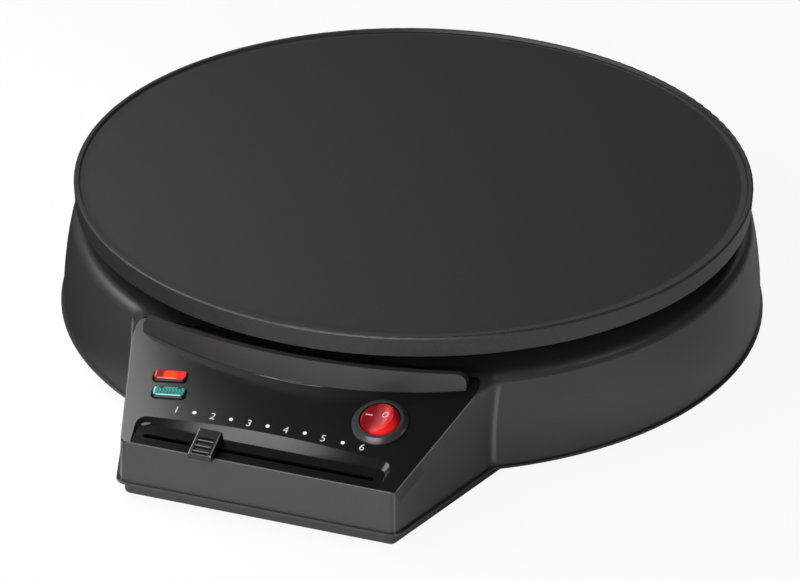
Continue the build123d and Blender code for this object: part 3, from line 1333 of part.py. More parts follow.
# ------------------------------------------------------------------------------------------------
# Export, one file for each node
# ------------------------------------------------------------------------------------------------
pieces = {
    "upper_housing": upper_housing,
    "bottom_cover": bottom_cover,
    "cover_screws": cover_screws,
    "cord_bushing": cord_bushing,
    "bushing_nut": bushing_nut,
    "cooking_plate": cooking_plate,
    "heating_element": heating_element,
    "element_terminals": element_terminals,
    "heat_shield": heat_shield,
    "fixing_washers": fixing_washers,
    "fixing_screws": fixing_screws,
    "thermostat_sensor": thermostat_sensor,
    "thermostat_body": thermostat_body,
    "thermostat_terminals": thermostat_terminals,
    "thermostat_bushing": thermostat_bushing,
    "thermostat_bracket": thermostat_bracket,
    "thermostat_screws": thermostat_screws,
    "thermostat_spindle": thermostat_spindle,
    "drive_pinion": drive_pinion,
    "spindle_clip": spindle_clip,
    "slider_knob": slider_knob,
    "slider_carriage": slider_carriage,
    "switch_body": switch_body,
    "switch_terminals": switch_terminals,
    "rocker_button": rocker_button,
    "red_lens": red_lens,
    "green_lens": green_lens,
    "red_lamp": red_lamp,
    "green_lamp": green_lamp,
    "lamp_holder": lamp_holder,
    "holder_screws": holder_screws,
    "thermal_fuse": thermal_fuse,
    "fuse_clip": fuse_clip,
    "earth_tag": earth_tag,
    "plate_screws": plate_screws,
    "terminal_block": terminal_block,
    "block_screws": block_screws,
}
pieces.update(feet)

os.makedirs("parts", exist_ok=True)
for name, piece in pieces.items():
    piece.part.label = name
    export_step(piece.part, f"parts/{name}.step")

print(f"plate axis y {axis_y:.3f}, front face y {front_y:.3f}, total height {top_z:.2f}")
print(f"slider travel {-slide_back:.2f} to {slide_forward:.2f}, {1000 / pinion_r:.4f} rad/m")
print(f"rocker pivot {rocker_plane.origin}, axis {switch_plane.y_dir}")
print(f"spindle at y {spindle_y:.3f}; cord bore at y {inlet_face_y:.3f}, z {inlet_z:.3f}")
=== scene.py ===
# %% [markdown]
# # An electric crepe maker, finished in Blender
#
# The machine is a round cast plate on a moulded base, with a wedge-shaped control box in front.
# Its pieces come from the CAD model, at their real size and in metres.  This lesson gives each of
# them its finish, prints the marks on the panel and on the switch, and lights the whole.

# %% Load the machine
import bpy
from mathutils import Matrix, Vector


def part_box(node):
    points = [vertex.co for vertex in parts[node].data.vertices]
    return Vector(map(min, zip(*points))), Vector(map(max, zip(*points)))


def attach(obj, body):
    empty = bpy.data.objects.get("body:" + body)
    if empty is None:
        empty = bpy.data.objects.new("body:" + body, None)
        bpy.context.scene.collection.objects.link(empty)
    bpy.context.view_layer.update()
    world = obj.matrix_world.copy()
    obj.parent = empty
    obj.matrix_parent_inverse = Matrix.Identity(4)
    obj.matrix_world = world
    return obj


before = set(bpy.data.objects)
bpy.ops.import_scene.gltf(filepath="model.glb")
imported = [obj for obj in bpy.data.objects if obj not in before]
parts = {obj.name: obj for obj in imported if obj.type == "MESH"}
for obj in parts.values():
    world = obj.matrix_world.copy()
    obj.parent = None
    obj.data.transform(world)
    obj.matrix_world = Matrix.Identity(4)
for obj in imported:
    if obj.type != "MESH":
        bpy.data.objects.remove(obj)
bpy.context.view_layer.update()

# %% Blender's modules
import math

import bmesh
import bpy
from mathutils import Vector

scene = bpy.context.scene
scene.view_settings.view_transform = "Standard"
MM = 0.001
print("Blender", bpy.app.version_string)

# %% [markdown]
# ## The camera
#
# A long lens from far away keeps the round plate from bulging, as a catalogue picture does.  The
# camera could be aimed with a constraint, but a place and three angles are plainer, and they stay
# as they are when something is added to the scene.

# %% Place the camera
CAMERA_PLACE = (0.46151, -1.358081, 0.81278)
CAMERA_TURN = (61.031, -0.580, 19.046)  # degrees about X, Y and Z
CAMERA_LENS = 162.68  # on a sensor 36 mm wide

camera = bpy.data.objects.new("camera", bpy.data.cameras.new("camera"))
camera.data.lens = CAMERA_LENS
camera.data.sensor_width = 36.0
camera.data.clip_end = 20.0
camera.location = CAMERA_PLACE
camera.rotation_euler = [math.radians(a) for a in CAMERA_TURN]
scene.collection.objects.link(camera)
scene.camera = camera
print("camera distance", round(Vector(CAMERA_PLACE).length, 3), "m")

# %% [markdown]
# ## The panel's own directions
#
# The control panel slopes, and the switch, the lenses and the printed scale all lie along it.  A
# place on it is plainest as two lengths: across the machine, and up the slope from the panel's
# front edge.  Three directions turn those lengths into a point, both for meshes and in shaders.

# %% Directions of the panel
PANEL_FRONT = Vector((0.0, -178.467, 28.5)) * MM
PANEL_SLOPE = math.radians(20.1)
ACROSS = Vector((1.0, 0.0, 0.0))
BACKWARD = Vector((0.0, 1.0, 0.0))
UPWARD = Vector((0.0, 0.0, 1.0))
UPHILL = BACKWARD * math.cos(PANEL_SLOPE) + UPWARD * math.sin(PANEL_SLOPE)
OUTWARD = ACROSS.cross(UPHILL)


def on_panel(across, uphill):
    """Point of the panel, from two lengths in millimetres."""
    return PANEL_FRONT + ACROSS * (across * MM) + UPHILL * (uphill * MM)


def middle_of(node):
    """Middle of the box round a CAD piece."""
    low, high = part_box(node)
    return (Vector(low) + Vector(high)) / 2


print("panel faces", [round(v, 3) for v in OUTWARD])

# %% [markdown]
# ## Writing shader maths in Python
#
# A material is a graph of nodes, and a long graph is hard to read as code.  Here a small class
# wraps one socket, so that `1 - mask` or `wave * 0.3 + 0.5` adds the Math nodes by itself.  Colours
# would lose their colour in a Math node, so they go through Mix nodes in one method of their own.
# Every other node comes from `add`, which sets its settings first and its sockets after that.
#
# Most patterns here are masks: a value of 1 where something shows and 0 where it doesn't.  They are
# made of lengths in millimetres along a direction, so that they can be read like a drawing.


# %% A socket that Python can calculate with
class Value:
    def __init__(self, finish, socket):
        self.finish = finish
        self.socket = socket

    def math(self, operation, *others, first=None):
        """One Math node on this value and another, or on the first one given and this value."""
        terms = (first, self) if first is not None else (self, *others)
        made = self.finish.add("ShaderNodeMath", {"operation": operation}, dict(enumerate(terms)))
        return made["Value"]

    def __add__(self, other):
        return self.math("ADD", other)

    def __radd__(self, other):
        return self.math("ADD", first=other)

    def __sub__(self, other):
        return self.math("SUBTRACT", other)

    def __rsub__(self, other):
        return self.math("SUBTRACT", first=other)

    def __mul__(self, other):
        return self.math("MULTIPLY", other)

    def __rmul__(self, other):
        return self.math("MULTIPLY", first=other)

    def __truediv__(self, other):
        return self.math("DIVIDE", other)

    def __rtruediv__(self, other):
        return self.math("DIVIDE", first=other)

    def __pow__(self, other):
        return self.math("POWER", other)

    def __abs__(self):
        return self.math("ABSOLUTE")

    def greater(self, other):
        """The greater of two values, which joins two masks."""
        return self.math("MAXIMUM", other)

    def folded(self, width):
        """The value folded to and fro between 0 and width, which repeats a pattern."""
        return self.math("PINGPONG", width)


# %% A node whose outputs are read by name
class Made:
    def __init__(self, finish, node):
        self.finish = finish
        self.node = node

    def __getitem__(self, name):
        return Value(self.finish, self.node.outputs[name])


# %% A material under construction
NOISE_LOW, NOISE_HIGH = 0.3, 0.7  # nearly all of a noise lies between these
GRAIN_LOW, GRAIN_HIGH = 0.35, 0.65  # closer together, which makes a grain crisper


class Finish:
    def __init__(self, name):
        self.material = bpy.data.materials.new(name)
        self.material.use_nodes = True
        self.tree = self.material.node_tree
        self.shader = self.tree.nodes["Principled BSDF"]

    def feed(self, socket, value):
        """Link a socket to a value, or set it to a plain number or colour."""
        if isinstance(value, Value):
            self.tree.links.new(value.socket, socket)
        elif socket.type == "RGBA" and len(value) == 3:
            socket.default_value = (*value, 1.0)
        else:
            socket.default_value = value

    def add(self, kind, settings=None, values=None):
        """A new node of that kind, with its settings first and its sockets after them."""
        node = self.tree.nodes.new(kind)
        for key, setting in (settings or {}).items():
            setattr(node, key, setting)
        for key, value in (values or {}).items():
            self.feed(node.inputs[key], value)
        return Made(self, node)

    def place(self):
        """Where a point is on the object, in metres."""
        return self.add("ShaderNodeTexCoord")["Object"]

    def along(self, direction, start):
        """Length in millimetres from a start, along a direction."""
        terms = {0: self.place(), 1: direction / MM}
        dot = self.add("ShaderNodeVectorMath", {"operation": "DOT_PRODUCT"}, terms)
        return dot["Value"] - start.dot(direction) / MM

    def noise(self, size, detail=2.0, stretch=(1.0, 1.0, 1.0)):
        """Even noise whose blotches are about size metres across."""
        place = {"Vector": self.place(), "Scale": stretch}
        where = self.add("ShaderNodeMapping", None, place)["Vector"]
        values = {"Vector": where, "Scale": 1 / size, "Detail": detail}
        return self.add("ShaderNodeTexNoise", None, values)["Fac"]

    def remap(self, value, low, high, to_low, to_high):
        """value from low..high to to_low..to_high, held at both ends."""
        return self.add(
            "ShaderNodeMapRange",
            {"clamp": True},
            {"Value": value, "From Min": low, "From Max": high, "To Min": to_low, "To Max": to_high},
        )["Result"]

    def mask(self, value, none, full):
        """0 at one value and 1 at the other, which may be the lower one."""
        return self.remap(value, none, full, 0.0, 1.0)

    def vary(self, noise, low, high):
        """A number that wanders from low to high with a noise."""
        return self.remap(noise, NOISE_LOW, NOISE_HIGH, low, high)

    def band(self, value, middle, half, fade):
        """1 within half of the middle, falling to 0 over the fade."""
        return self.remap(abs(value - middle), half, half + fade, 1.0, 0.0)

    def spot(self, a, b, middle, radii):
        """1 in the middle of an ellipse, falling to 0 at its rim."""
        distance = ((a - middle[0]) / radii[0]) ** 2.0 + ((b - middle[1]) / radii[1]) ** 2.0
        return self.remap(distance, 0.0, 1.0, 1.0, 0.0)

    def blend(self, mask, low, high):
        """Colour low where mask is 0 and high where it is 1."""
        made = self.add("ShaderNodeMix", {"data_type": "RGBA"}, {0: mask, 6: low, 7: high})
        return Value(self, made.node.outputs[2])

    def bump(self, height, depth):
        """Relief of that depth in metres, where height runs from 0 to 1."""
        relief = {"Height": height, "Distance": depth, "Strength": 1.0}
        self.feed(self.shader.inputs["Normal"], self.add("ShaderNodeBump", None, relief)["Normal"])

    def set(self, **values):
        """Feed the shader's own sockets, named with _ for each space."""
        for name, value in values.items():
            self.feed(self.shader.inputs[name.replace("_", " ")], value)


# %% Give a finish to the pieces that have it
def coat(finish, *names):
    for name in names:
        for place in parts[name].material_slots:
            place.material = finish.material
    print(finish.material.name, "on", len(names), "pieces")


# %% [markdown]
# ## Moulded plastic
#
# The housing is moulded in a spark-eroded tool, which leaves a fine, even grain.  The grain is too
# small for geometry, so it is a bump.  The sheen isn't quite even over a large moulding, and a
# broad, weak noise in the roughness shows that without any visible pattern.


# %% Moulded plastic with a tool grain
SHEEN_BLOTCH = 60 * MM  # the even sheen drifts over about this length
SHEEN_DRIFT = 0.05


def sheen_noise(finish, fine):
    """The fine grain and a broad drift together, for the roughness."""
    return fine * 0.4 + finish.noise(SHEEN_BLOTCH) * 0.6


def moulded(name, colour, lighter, roughness, grain, depth):
    finish = Finish(name)
    fine = finish.noise(grain, 3.0)
    sheen = sheen_noise(finish, fine)
    finish.set(Base_Color=finish.blend(finish.mask(fine, GRAIN_LOW, GRAIN_HIGH), colour, lighter))
    finish.set(Roughness=finish.vary(sheen, roughness - SHEEN_DRIFT, roughness + SHEEN_DRIFT))
    finish.bump(fine, depth)
    return finish


# %% Matt, satin, white and cream mouldings, and rubber
def greys(low, high):
    """Two greys without any tint, as colours."""
    return (low,) * 3, (high,) * 3


MATT_BLACK = moulded("matt_black_moulding", *greys(0.018, 0.026), 0.50, 0.7 * MM, 0.03 * MM)
DARK_GREY = moulded(
    "satin_dark_grey_moulding", (0.026, 0.026, 0.027), (0.032, 0.032, 0.033), 0.30, 0.5 * MM, 0.004 * MM
)
NYLON = moulded("white_nylon", (0.74, 0.74, 0.70), (0.80, 0.80, 0.76), 0.46, 0.9 * MM, 0.01 * MM)
CERAMIC = moulded("cream_ceramic", (0.72, 0.68, 0.58), (0.80, 0.77, 0.68), 0.58, 0.6 * MM, 0.02 * MM)
RUBBER = moulded("black_rubber", *greys(0.018, 0.030), 0.74, 0.5 * MM, 0.05 * MM)

coat(MATT_BLACK, "bottom_cover", "bushing_nut", "lamp_holder", "slider_carriage")
coat(DARK_GREY, "switch_body")
coat(NYLON, "drive_pinion")
coat(CERAMIC, "thermostat_body", "terminal_block", "fixing_washers")
coat(RUBBER, "cord_bushing", *[name for name in parts if name.startswith("foot_")])

# %% [markdown]
# ## The housing
#
# The panel is smoother than the grained walls round it, and its colour is set darker, near black.
# One material can hold both: a mask that is 1 only within a fraction of a millimetre of the panel's
# plane picks out the flat panel.  A second mask takes in the slider's trough, which lies below that
# plane near the front edge.


# %% Mask of the panel and trough
def panel_and_trough_zone(finish, height, uphill):
    panel = finish.band(height, 0.0, 0.15, 0.15)
    trough = finish.band(height, -3.0, 3.0, 0.3) * finish.band(uphill, 9.0, 8.6, 0.4)
    return panel.greater(trough) * finish.mask(uphill, 0.1, 0.4)


# %% [markdown]
# Pale lines are painted on the housing as highlights, along rounded edges that catch the light.
# The housing has three such painted highlights on each side: the panel's side edge, the upright
# front corner, and the hollow where the box runs into the round base.  Two of them are told by the
# distance from the box's flat side wall, whose direction comes from the angle and the draft that it
# has in the CAD model.

# %% Mask of the painted highlight lines
SIDE_WALL = Vector((0.94812, -0.31356, 0.05234))  # outward, of the right one
SIDE_WALL_AWAY = 57.362  # mm from the middle of the panel's front edge
CORNER_ACROSS, CORNER_BACK = 59.95, 0.76  # mm, the upright corner's line
CORNER_WIDE = (0.8106, 0.5857)  # direction round that corner
HOLLOW_BACK = 62.4  # mm, where the box meets the round base


def painted_highlight_lines(finish, height):
    across = abs(finish.along(ACROSS, PANEL_FRONT))
    back = finish.along(BACKWARD, PANEL_FRONT)
    up = finish.along(UPWARD, PANEL_FRONT)
    off_wall = across * SIDE_WALL.x + back * SIDE_WALL.y + up * SIDE_WALL.z - SIDE_WALL_AWAY
    edge = finish.band(off_wall, -0.1, 0.25, 0.2) * finish.band(height, -0.1, 0.25, 0.2)
    round_corner = (across - CORNER_ACROSS) * CORNER_WIDE[0] + (back - CORNER_BACK) * CORNER_WIDE[1]
    corner = finish.band(round_corner, 0.0, 0.15, 0.35) * finish.band(back, 0.0, 3.0, 1.0)
    below_panel = finish.mask(height, -0.4, -0.9) * finish.mask(across, 56.0, 57.0)
    hollow = finish.band(off_wall, 0.75, 0.3, 0.3) * finish.band(back, HOLLOW_BACK, 8.0, 2.0)
    hollow_height = finish.band(up, 0.5, 15.0, 3.0)
    return (edge * 0.8).greater(corner * below_panel * 0.6).greater(hollow * hollow_height * 0.8)


# %% Housing: grained walls and a smoother, darker panel
def housing_plastic():
    finish = Finish("satin_black_moulding")
    height = finish.along(OUTWARD, PANEL_FRONT)
    panel = panel_and_trough_zone(finish, height, finish.along(UPHILL, PANEL_FRONT))
    fine = finish.noise(0.45 * MM, 3.0)
    grain = finish.mask(fine, GRAIN_LOW, GRAIN_HIGH)
    walls = finish.blend(grain, (0.020, 0.020, 0.021), (0.028, 0.028, 0.029))
    darker_panel_colour = finish.blend(panel, walls, (0.003, 0.003, 0.0032))
    # The pale grey (0.13) on these lines is a painted highlight.
    finish.set(Base_Color=finish.blend(painted_highlight_lines(finish, height), darker_panel_colour, (0.13, 0.13, 0.13)))
    sheen = finish.vary(sheen_noise(finish, fine), 0.36, 0.44)
    finish.set(Roughness=sheen - panel * 0.22, Specular_IOR_Level=0.65)
    finish.bump(fine * (1 - panel * 0.7), 0.012 * MM)
    return finish


coat(housing_plastic(), "upper_housing")

# %% [markdown]
# ## The knob
#
# The slider's knob is glossy, and its grip ridges and its top edges are painted paler as highlights.
# The ridges lie at even steps, so a length up the panel that is folded to and fro every half step
# gives the distance to the nearest ridge.

# %% Glossy knob with painted highlights on its ridges
KNOB_TOP = 3.6  # mm above the panel
GRIP_MIDDLE = 2.5  # mm up the panel
GRIP_STEP = 2.9  # mm from ridge to ridge


def knob_plastic():
    finish = Finish("polished_black_moulding")
    across = finish.along(ACROSS, middle_of("slider_knob"))
    uphill = finish.along(UPHILL, PANEL_FRONT)
    top = finish.band(finish.along(OUTWARD, PANEL_FRONT), KNOB_TOP, 0.35, 0.2)
    to_ridge = (uphill - GRIP_MIDDLE).folded(GRIP_STEP / 2)
    grip = finish.band(across, 0.0, 3.3, 0.2) * finish.band(uphill, GRIP_MIDDLE, 3.6, 0.3)
    ridges = finish.band(to_ridge, 0.0, 0.15, 0.15) * grip
    edges = finish.band(abs(across), 4.75, 0.12, 0.2)
    # The paler grey on the ridges and top edges is a painted highlight, uneven with a noise.
    painted_knob_highlights = ridges.greater(edges * 0.8) * top * finish.vary(finish.noise(1.5 * MM), 0.5, 1.0)
    finish.set(Base_Color=finish.blend(painted_knob_highlights, *greys(0.009, 0.24)), Roughness=0.16)
    return finish


coat(knob_plastic(), "slider_knob")

# %% [markdown]
# ## The cooking plate
#
# The plate is cast aluminium under a sprayed non-stick coat.  The coat has a fine grain of its own
# and pale mineral specks.  Specks come well from a Voronoi texture, because the distance to the
# nearest of its scattered points makes small round dots, and only some cells get one.  The cooking
# surface is left duller than the rim, so that batter spreads on it without sliding.

# %% Sprayed non-stick coat
SPECK_SPACING = 1.1 * MM
SPECK_SHARE = 0.28  # of the cells have a speck
SPECK_FADE = 0.02  # on either side of that share, a speck is fainter
COOKING_RADIUS = 147.0  # mm, of the flat inside the lip


def sprayed_coat():
    finish = Finish("speckled_nonstick_coat")
    grain = finish.noise(0.5 * MM, 3.0)
    cell_values = {"Vector": finish.place(), "Scale": 1 / SPECK_SPACING}
    cells = finish.add("ShaderNodeTexVoronoi", None, cell_values)
    chance = finish.add("ShaderNodeSeparateColor", None, {"Color": cells["Color"]})["Red"]
    limit = 1 - SPECK_SHARE
    chosen = finish.mask(chance, limit - SPECK_FADE, limit + SPECK_FADE)
    speck = finish.mask(cells["Distance"], 0.20, 0.10) * chosen
    pale = finish.vary(grain, 0.0, 0.30) + speck * 0.45
    finish.set(Base_Color=finish.blend(pale, (0.009, 0.009, 0.0095), (0.075, 0.075, 0.08)))
    middle = middle_of("cooking_plate")
    x, y = finish.along(ACROSS, middle), finish.along(BACKWARD, middle)
    flat = finish.mask((x * x + y * y) ** 0.5, COOKING_RADIUS + 1, COOKING_RADIUS)
    finish.set(Roughness=finish.vary(grain, 0.38, 0.50) + flat * 0.25)
    finish.bump(grain + speck * 0.5, 0.02 * MM)
    return finish


coat(sprayed_coat(), "cooking_plate")

# %% [markdown]
# ## Metal
#
# Sheet metal keeps the long fine lines of its rolling.  Noise that is stretched a lot in one
# direction draws such lines, and it varies the roughness more than the colour.


# %% Bare metal with rolling lines
ROLLING_STRETCH = (1.0, 30.0, 30.0)  # lines along X, thirty times as long as wide


def bare_metal(name, colour, roughness):
    finish = Finish(name)
    lines = finish.noise(12 * MM, 3.0, ROLLING_STRETCH)
    darker = tuple(0.82 * c for c in colour)
    finish.set(Base_Color=finish.blend(finish.mask(lines, GRAIN_LOW, GRAIN_HIGH), darker, colour))
    finish.set(Metallic=1.0, Roughness=finish.vary(lines, roughness - 0.06, roughness + 0.08))
    finish.bump(lines, 0.01 * MM)
    return finish


# %% Sheet, tube, screws and brass
SHEET = bare_metal("aluminised_sheet", (0.62, 0.62, 0.63), 0.34)
HEATED_TUBE = bare_metal("heat_darkened_tube", (0.20, 0.18, 0.17), 0.45)
# Painted shade: the heat shield is made near black, as dark as the shaded gap under the plate.
SHADE_DARK_SHEET = bare_metal("sheet_darkened_as_shade", (0.06, 0.055, 0.05), 0.50)
ZINC = bare_metal("zinc_plated_screw", (0.70, 0.70, 0.72), 0.30)
BRASS = bare_metal("plain_brass", (0.72, 0.54, 0.24), 0.32)

coat(SHEET, "thermostat_bracket", "fuse_clip", "thermostat_sensor", "thermal_fuse")
coat(HEATED_TUBE, "heating_element")
# The heat shield's near black is painted shade for the gap under the plate.
coat(SHADE_DARK_SHEET, "heat_shield")
coat(ZINC, "cover_screws", "fixing_screws", "thermostat_screws", "plate_screws", "holder_screws")
coat(ZINC, "thermostat_spindle", "spindle_clip")
coat(BRASS, "element_terminals", "thermostat_terminals", "switch_terminals")
coat(BRASS, "thermostat_bushing", "earth_tag", "block_screws")

# %% [markdown]
# ## Pilot lenses
#
# A pilot lens is clear plastic with prisms moulded inside, so it looks brightest over its lamp and
# is crossed by fine zigzag lines, and its bevels catch the light as pale lines.  Real refraction
# would need many light bounces and can't be carried to other programs, so the glow, the prisms and
# the pale lines are drawn in the colour and in the emission.  The lenses lie askew on the panel, so
# the pattern is drawn along directions of their own.

# %% Directions of a lens
LENS_TURN = math.radians(9.0)
LENS_ALONG = ACROSS * math.cos(LENS_TURN) + UPHILL * math.sin(LENS_TURN)
LENS_WIDE = OUTWARD.cross(LENS_ALONG)
LENS_HALF_LENGTH = 6.75  # mm, of the part that lets light through
LENS_HALF_WIDTH = 2.60
LENS_CORNER = 2.1
print("lens turned", round(math.degrees(LENS_TURN), 1), "degrees on the panel")


def lens_lengths(finish, node):
    """Lengths in millimetres from the middle of a lens, along it and across it."""
    middle = middle_of(node)
    return finish.along(LENS_ALONG, middle), finish.along(LENS_WIDE, middle)


def lens_rim(finish, a, b):
    """1 on the outer rim and in the corners of a lens, which are coloured near black."""
    ends = (abs(a) - (LENS_HALF_LENGTH - LENS_CORNER)).greater(0.0)
    sides = (abs(b) - (LENS_HALF_WIDTH - LENS_CORNER)).greater(0.0)
    from_corner = (ends * ends + sides * sides) ** 0.5
    return finish.mask(from_corner, LENS_CORNER, LENS_CORNER + 0.25)


def prism_lines(a, b, step, slant):
    """Zigzag lines across a lens, rising from 0 to step between one line and the next."""
    return (a + b.folded(slant) * 0.9).folded(step)


# %% Red lens, lit by its lamp
def red_lens():
    finish = Finish("lit_red_lens")
    a, b = lens_lengths(finish, "red_lens")
    body = finish.blend(finish.mask(a, -4.0, 1.5), (0.20, 0.002, 0.006), (0.62, 0.006, 0.012))
    glow = finish.spot(a, b, (0.3, -0.2), (3.6, 3.4))
    lit = finish.blend(glow * 1.3, body, (0.90, 0.050, 0.006))
    lines = (prism_lines(a, b, 0.45, 0.7) * 2.0) ** 2.0
    glints = finish.remap(a, 3.0, 5.0, 0.0, 0.35) * lines
    glinting = finish.blend(glints, lit, (0.90, 0.16, 0.14))
    lower = finish.band(b, -2.2, 0.12, 0.25) * finish.band(a, -1.0, 3.6, 1.0)
    left = finish.band(a, -6.1, 0.12, 0.25) * finish.band(b, 0.0, 1.2, 0.8)
    lined = finish.blend(lower * 0.7 + left * 0.5, glinting, (1.0, 0.32, 0.26))
    colour = finish.blend(lens_rim(finish, a, b), lined, (0.012, 0.0, 0.0))
    finish.set(Base_Color=colour, Emission_Color=colour, Emission_Strength=0.22)
    finish.set(Roughness=0.25, Specular_IOR_Level=0.12)
    return finish


coat(red_lens(), "red_lens")


# %% Green lens, unlit
DARK_SPOT = (1.2, 0.7)  # mm, its half length and half width


def green_lens():
    finish = Finish("unlit_green_lens")
    a, b = lens_lengths(finish, "green_lens")
    lines = prism_lines(a, b, 0.7, 1.0) * 1.4
    prisms = finish.blend(lines, (0.002, 0.070, 0.062), (0.050, 0.360, 0.310))
    spots = finish.spot(a, b, (-3.4, 1.6), DARK_SPOT) + finish.spot(a, b, (4.4, 1.6), DARK_SPOT)
    shade = finish.remap(b, -1.8, 1.2, 0.35, 0.0) + spots * 1.4
    dark = finish.blend(shade, prisms, (0.0, 0.012, 0.012))
    lower = finish.band(b, -2.3, 0.12, 0.25) * finish.band(a, 0.0, 5.0, 0.8)
    upper = finish.band(b, 2.25, 0.14, 0.25) * finish.band(a, 0.4, 2.6, 0.8)
    left = finish.band(a, -6.2, 0.15, 0.25) * 0.7
    lined = finish.blend(lower + upper * 0.9 + left, dark, (0.46, 0.76, 0.70))
    colour = finish.blend(lens_rim(finish, a, b), lined, (0.0, 0.006, 0.006))
    # Its lamp is off, so the emission here is painted light that brightens the lens.
    finish.set(Base_Color=colour, Emission_Color=colour, Emission_Strength=0.12)
    finish.set(Roughness=0.25, Specular_IOR_Level=0.15)
    return finish


coat(green_lens(), "green_lens")


# %% Clear glass of the small lamps
def lamp_glass():
    finish = Finish("lamp_glass")
    uneven = finish.blend(finish.noise(2 * MM), (0.80, 0.76, 0.70), (0.95, 0.92, 0.88))
    finish.set(Base_Color=uneven)
    finish.set(Roughness=0.08, Transmission_Weight=0.85)
    return finish


coat(lamp_glass(), "red_lamp", "green_lamp")

# %% [markdown]
# ## The lit rocker
#
# The rocker is translucent red with its lamp below one end.  The pressed face looks deep red, the
# raised end glows along its lower edge, and a soft streak of light runs down the ridge.  All three
# are masks made of lengths from the middle of the switch.

# %% Translucent red rocker
SWITCH_ACROSS, SWITCH_UPHILL = 42.9, 34.1  # mm on the panel
GLOW_RIGHT, GLOW_DOWN = 0.62, 0.78  # direction in which the glowing edge lies


def rocker_red():
    finish = Finish("translucent_red")
    middle = on_panel(SWITCH_ACROSS, SWITCH_UPHILL)
    x, y = finish.along(ACROSS, middle), finish.along(UPHILL, middle)
    radius = (x * x + y * y) ** 0.5
    face = finish.blend(finish.mask(x, -3.0, 2.5), (0.17, 0.003, 0.006), (0.40, 0.006, 0.014))
    facing = (x * GLOW_RIGHT - y * GLOW_DOWN) / (radius + 0.01)
    crescent = finish.mask(radius, 4.6, 6.6) * finish.mask(facing, 0.45, 0.9)
    glowing = finish.blend(crescent, face, (0.80, 0.012, 0.016))
    streak = finish.band(x + y * y * 0.04, 3.0, 0.3, 1.4) * finish.band(y, 0.8, 2.6, 3.4)
    colour = finish.blend(streak * 0.22, glowing, (0.85, 0.34, 0.36))
    finish.set(Base_Color=colour, Emission_Color=colour, Emission_Strength=0.15)
    finish.set(Roughness=0.25, Specular_IOR_Level=0.15)
    return finish


coat(rocker_red(), "rocker_button")

# %% [markdown]
# ## Printed marks
#
# The scale has the numbers 1 to 6 with dots between them, and the switch has a bar for on and a
# ring for off.  Ink is a few hundredths of a millimetre thick, so each mark is a thin solid on the
# plastic.  The panel is flat but the rocker is hollowed, so every point of a mark is dropped onto
# the piece by a ray, its lower half just under the surface and its upper half just above.


# %% Ink
def ink(name, colour):
    finish = Finish(name)
    speck = finish.vary(finish.noise(0.2 * MM), 0.0, 1.0)
    darker = tuple(0.85 * c for c in colour)
    finish.set(Base_Color=finish.blend(speck, darker, colour), Roughness=0.5)
    return finish


WHITE_INK = ink("white_ink", (0.88, 0.88, 0.88))
PALE_INK = ink("pale_ink", (0.62, 0.62, 0.62))
ROSE_INK = ink("rose_ink", (0.80, 0.42, 0.42))
INK_HALF = 0.04 * MM  # half an ink mark's thickness


# %% Lay a flat mesh on a surface
RAY_HEIGHT = 12 * MM  # over the panel, above all that is printed on
ON_HOUSING = ("upper_housing", "base", "housing")  # node, body and slot
ON_ROCKER = ("rocker_button", "rocker", "rocker_red")


def lay(mesh, name, across, uphill, finish, node, body, slot):
    """Drop a flat mark onto a piece, and let it move with that piece's body."""
    middle = on_panel(across, uphill)
    for point in mesh.vertices:
        above = middle + ACROSS * point.co.x + UPHILL * point.co.y + OUTWARD * RAY_HEIGHT
        hit, place, _, _ = parts[node].ray_cast(above, -OUTWARD)
        if not hit:
            raise ValueError(f"{name} hangs over the edge of {node}")
        point.co = place + OUTWARD * point.co.z
    mark = bpy.data.objects.new(name, mesh)
    scene.collection.objects.link(mark)
    mesh.materials.clear()
    mesh.materials.append(finish.material)
    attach(mark, body)


# %% Numbers of the scale
NUMBER_HEIGHT = 3.4 * MM
NUMBER_SHARE = 0.7  # of the font's size is a number's height
NUMBERS = {  # mm across the panel and up it
    "1": (-43.1, 21.1),
    "2": (-26.9, 21.2),
    "3": (-10.7, 21.2),
    "4": (5.6, 21.2),
    "5": (22.3, 20.6),
    "6": (39.6, 19.8),
}


def number_mesh(text):
    """A number as a thin solid, made from Blender's own font."""
    curve =bpy.data.curves.new("number_" + text, "FONT")
    curve.body = text
    curve.size = NUMBER_HEIGHT / NUMBER_SHARE
    curve.align_x = "CENTER"
    curve.align_y = "CENTER"
    curve.extrude = INK_HALF
    curve.resolution_u = 4
    holder = bpy.data.objects.new("number_" + text, curve)
    scene.collection.objects.link(holder)
    bpy.context.view_layer.update()
    mesh = bpy.data.meshes.new_from_object(holder)
    bpy.data.objects.remove(holder)
    return mesh


for text, (across, uphill) in NUMBERS.items():
    lay(number_mesh(text), "number_" + text, across, uphill, PALE_INK, *ON_HOUSING)
print("numbers", len(NUMBERS))


# %% Turn a flat shape into an ink mark
def thicken(shape):
    """A flat shape becomes a closed slab, half of it under and half of it over the surface."""
    bmesh.ops.recalc_face_normals(shape, faces=shape.faces[:])
    made = bmesh.ops.extrude_face_region(shape, geom=shape.faces[:])["geom"]
    top = [part for part in made if isinstance(part, bmesh.types.BMVert)]
    for vertex in shape.verts:
        vertex.co.z = -INK_HALF
    for vertex in top:
        vertex.co.z = INK_HALF
    bmesh.ops.recalc_face_normals(shape, faces=shape.faces[:])


def disc_mesh(name, radius, hole):
    """A round mark, with a hole in the middle where its radius isn't 0."""
    mesh = bpy.data.meshes.new(name)
    shape = bmesh.new()
    rim = bmesh.ops.create_circle(shape, cap_ends=hole == 0, radius=radius, segments=32)["verts"]
    if hole:
        inner = bmesh.ops.create_circle(shape, cap_ends=False, radius=hole, segments=32)["verts"]
        edges = {edge for vertex in rim + inner for edge in vertex.link_edges}
        bmesh.ops.bridge_loops(shape, edges=list(edges))
    thicken(shape)
    shape.to_mesh(mesh)
    shape.free()
    return mesh


